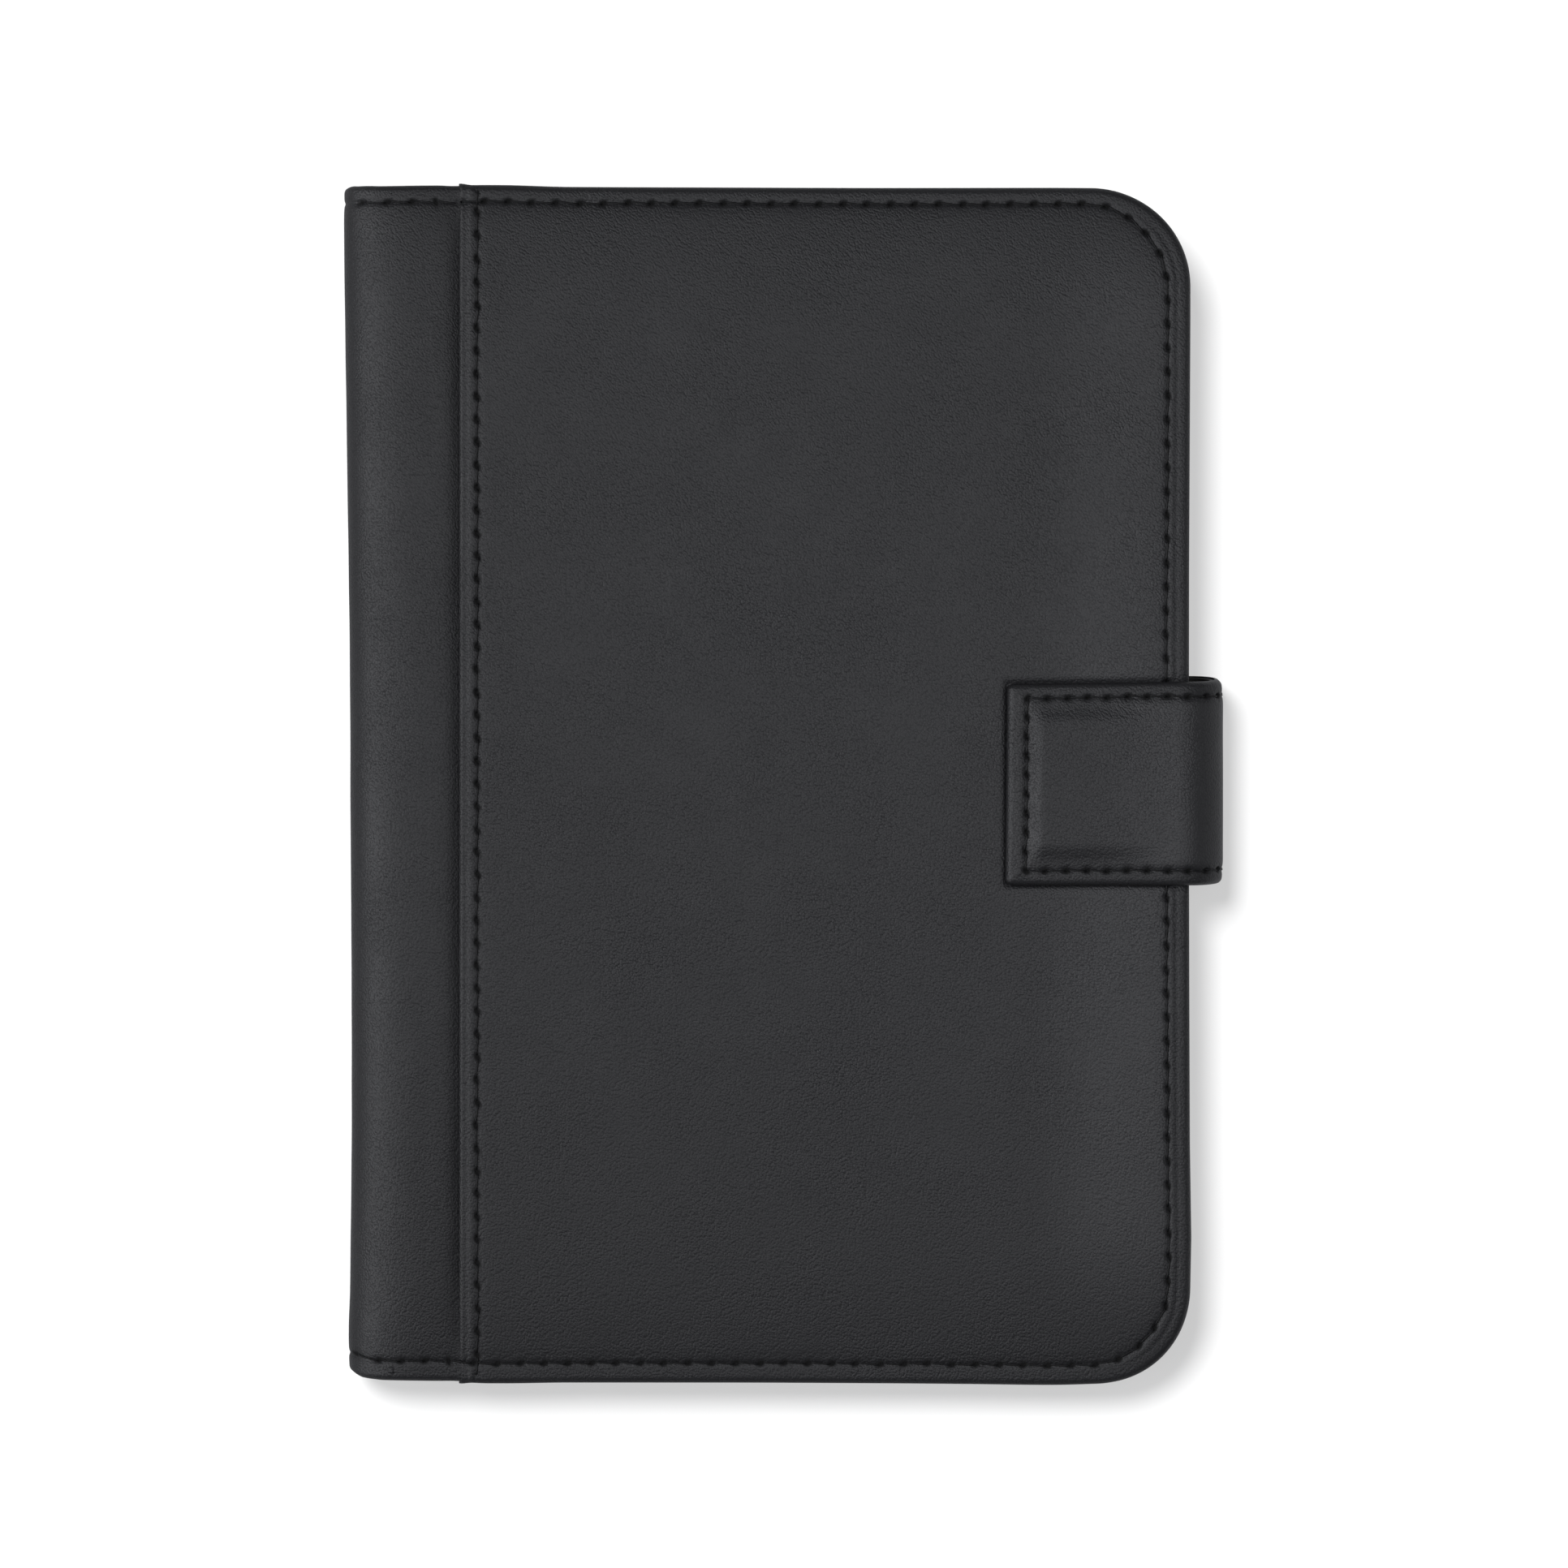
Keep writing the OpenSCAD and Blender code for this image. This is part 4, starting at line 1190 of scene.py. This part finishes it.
# sleeve that takes the notebook's back card
SL = SLAB + 0.1 + 0.6
v, f = plate(rect_loop(102, W - 2.0, YB + 2.0, YT - 2.0, (0.3, RB - 2.0, RT - 2.0, 0.3), step=2.5, arc=14), SL, SL + 0.48, soft=0.2)
loop = rect_loop(155.6, W - 2.05, YB + RB + 4, YT - RT - 4, (0.2,) * 4, step=3)
w3 = plate(loop, SLAB - 0.02, SL + 0.1, soft=0.1)
w1 = plate(rect_loop(102, W - RT + 2, YB + 2.05, YB + 6.6, (0.3,) * 4, step=3), SLAB - 0.02, SL + 0.1, soft=0.1)
w2 = plate(rect_loop(102, W - RT + 2, YT - 6.6, YT - 2.05, (0.3,) * 4, step=3), SLAB - 0.02, SL + 0.1, soft=0.1)
hm = plate(rect_loop(102.05, 106.5, YB + 3, YT - 3, (0.2,) * 4, step=3), SL + 0.35, SL + 0.62, soft=0.12)
v, f = join([(v, f), w1, w2, w3, hm])
dress(make("back_sleeve_leather", v, f), M_IN, "back_cover", ["back_sleeve"])
parts = [inner_stitches("x", [(104.8, YB + 4), (104.8, YT - 4)], SL + 0.62, False, "back_cover", seed=48)]
zin2 = lambda u, y: np.column_stack([u, y, np.where(u < 101.5, SLAB + 0.02, SL + 0.48)])
upn = lambda u, y: np.tile([0.0, 0.0, 1.0], (len(u), 1))
keep = [h for h in ins if abs(h[0] - 101.8) > 0.8]
parts.append(stitch_run(np.array(keep), zin2, upn, np.random.default_rng(49), r=0.18, lift=0.06, slant=0.08, dive=0.15))
v, f = join(parts)
dress(make("back_inner_stitches", v, f), M_THREAD, "back_cover")

# ------------------------------------------------------------------ notebook refill
r6 = np.random.default_rng(60)
parts = []
N_LEAF = 40
z0, z1 = 4.9, 11.4
for n in range(N_LEAF):
    a = z0 + (z1 - z0) * n / N_LEAF
    b = z0 + (z1 - z0) * (n + 1) / N_LEAF - 0.012
    j = r6.normal(0, 0.07, 3)
    lp = rect_loop(6.55 + abs(j[0]) * 0.3, 154.4 + j[1], -104.9 + j[2], 104.9 + j[2], (0.2, 6, 6, 0.2), step=12, arc=6)
    parts.append(plate(lp, a, b, soft=0.03, seg=1))
v, f = join(parts)
pg = dress(make("refill_page_block", v, f, smooth_shade=False), M_PAPER, "back_cover", ["refill_pages"])
v, f = plate(rect_loop(6.5, 154.5, -105, 105, (0.2, 6, 6, 0.2), step=6, arc=8), 3.72, 4.2, soft=0.08, seg=2)
dress(make("refill_back_card", v, f), M_CARD, "back_cover", ["refill_card"])
a = plate(rect_loop(6.2, 6.5, -105, 105, (0.1,) * 4, step=6, arc=3), 3.7, 11.56, soft=0.1, seg=2)
b = plate(rect_loop(6.22, 20.5, -105, 105, (0.1,) * 4, step=6, arc=3), 11.41, 11.58, soft=0.07, seg=2)
v, f = join([a, b])
tp = dress(make("refill_tape", v, f), M_TAPE, "back_cover", ["refill_binding"])

# ------------------------------------------------------------------ strap
i_mid = int(np.argmin(np.abs(SP[:, 1] - 9.4) + 100 * (SP[:, 0] < S_OUT - 0.01)))
a = dress(strap_piece("strap_lower_leather", 0, i_mid, 0, 1.2), M_OUT, None,
          ["strap_anchor_leather"])
b = dress(strap_piece("strap_lower_lining", 0, i_mid, 1.2, 2.2, False, 0.3), M_SLIN, None,
          ["strap_anchor_lining"])
c = dress(strap_piece("strap_upper_leather", i_mid, len(SP) - 1, 0, 1.2), M_OUT, None,
          ["strap_tab_leather", "strap_side_leather"])
d = dress(strap_piece("strap_upper_lining", i_mid, len(SP) - 1, 1.2, 2.2, False, 0.3), M_SLIN, None,
          ["strap_tab_lining", "strap_side_lining"])
l_mid = TAB_LEN[i_mid]
e = dress(strap_thread("strap_upper_stitches", 0, l_mid + 0.5, np.random.default_rng(71)), M_THREAD, None,
          ["strap_tab_thread", "strap_side_thread"])
g = dress(strap_thread("strap_lower_stitches", l_mid - 3.5, 59, np.random.default_rng(72)), M_THREAD, None)
for ob in (a, b, g):
    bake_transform(ob)
for ob in (c, d, e):
    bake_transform(ob)

# padding: it stops short of the edges, so the leather can roll down to them
for side, flip, body in BACK_KW:
    v, f = plate(rect_loop(27.5, W - 13, YB + 13, YT - 13, (1, 6, 6, 1), step=6, arc=8), T - 1.66, T - 1.32, soft=0.1)
    if flip:
        v = flip_v(v)
    fm = dress(make(side + "_padding", v, f), M_FOAM, body, [side + "_foam"])

# CAD nodes that stay, inside the covers
for nm, mt in (("back_board", M_BOARD), ("front_board", M_BOARD),
               ("closure_plate", M_STEEL), ("tab_magnet", M_STEEL)):
    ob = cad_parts[nm]
    for s in ob.material_slots:
        s.material = mt
    if not ob.material_slots:
        ob.data.materials.append(mt)

# ------------------------------------------------------------------ floor, light and camera
me = bpy.data.meshes.new("floor")
me.from_pydata([(-8, -8, -1e-5), (8, -8, -1e-5), (8, 8, -1e-5), (-8, 8, -1e-5)], [], [(0, 1, 2, 3)])
floor = bpy.data.objects.new("floor", me)
bpy.context.scene.collection.objects.link(floor)
m, nt, bs = new_mat("pale_floor")
t = Tree(nt)
t.link(t.mix(t.noise(t.coords(10.0), 1.0, 2), (0.215, 0.215, 0.215, 1), (0.225, 0.225, 0.225, 1)), bs.inputs["Base Color"])
bs.inputs["Roughness"].default_value = 0.9
bs.inputs["Specular IOR Level"].default_value = 0.1
bs.inputs["Emission Color"].default_value = (1, 1, 1, 1)
bs.inputs["Emission Strength"].default_value = 0.53
me.materials.append(m)
floor.visible_glossy = False
floor.visible_diffuse = False

COOL = (0.955, 0.965, 1.0)

world = bpy.data.worlds.new("studio")
bpy.context.scene.world = world
world.use_nodes = True
nt = world.node_tree
t = Tree(nt)
bg = nt.nodes["Background"]
tc = t.node("ShaderNodeTexCoord")


def lobe(elevation, azimuth, spread, strength):
    """A soft patch of light in the sky, centred on one direction."""
    e, a = math.radians(elevation), math.radians(azimuth)
    n = t.node("ShaderNodeVectorMath", operation="DOT_PRODUCT")
    t.link(tc.outputs["Generated"], n.inputs[0])
    n.inputs[1].default_value = (math.cos(e) * math.cos(a), math.cos(e) * math.sin(a), math.sin(e))
    x = t.math("DIVIDE", t.math("SUBTRACT", n.outputs["Value"], 1.0), spread)
    return t.math("MULTIPLY", t.math("EXPONENT", x), strength)


sky = t.math("ADD", lobe(36, 180, 0.045, 5.0), 0.032)
for args in ((10, 0, 0.04, 0.83), (8, 90, 0.05, 0.45), (8, -90, 0.05, 0.45)):
    sky = t.math("ADD", sky, lobe(*args))
sep = t.node("ShaderNodeSeparateXYZ")
t.link(tc.outputs["Generated"], sep.inputs[0])
# the pale table as the sides of the cover see it
table = t.math("MULTIPLY", t.math("MULTIPLY", sep.outputs[2], -5.0, clamp=True), 0.5)
t.link(t.math("ADD", sky, table), bg.inputs["Strength"])
bg.inputs["Color"].default_value = (*COOL, 1)


def lamp(name, kind, loc, target, **kw):
    l = bpy.data.lights.new(name, kind)
    for k, v in kw.items():
        setattr(l, k, v)
    o = bpy.data.objects.new(name, l)
    o.location = loc
    o.rotation_euler = (Vector(target) - Vector(loc)).to_track_quat("-Z", "Y").to_euler()
    o.visible_camera = False
    bpy.context.scene.collection.objects.link(o)
    return o


# two long soft boxes over the table
for name, y, power in (("box_near", -0.12, 0.42), ("box_far", 0.08, 1.34)):
    lamp(name, "AREA", (0, y, 0.55), (0, y, 0), shape="RECTANGLE", size=1.0, size_y=0.2, energy=power, color=COOL)

# the lamp that whitens the table and gives the short shadow to the lower right lights only the table
only = bpy.data.collections.new("table")
only.objects.link(floor)
key = lamp("table_key", "SUN", (-0.30, 0.36, 1.0), (0, 0, 0), energy=6.98, angle=math.radians(20))
key.light_linking.receiver_collection = only

cam = bpy.data.cameras.new("camera")
co = bpy.data.objects.new("camera", cam)
CAM_Z = 2.0
co.location = (0.00008, 0, CAM_Z)
co.rotation_euler = (0, 0, 0)
cam.sensor_width = 36.0
cam.lens = 36.0 * (CAM_Z - 0.0174) / (1932 * 0.00015353)
cam.clip_start = 0.05
cam.clip_end = 40
bpy.context.scene.collection.objects.link(co)
bpy.context.scene.camera = co
bpy.context.scene.view_settings.view_transform = "Standard"
bpy.context.scene.view_settings.look = "None"
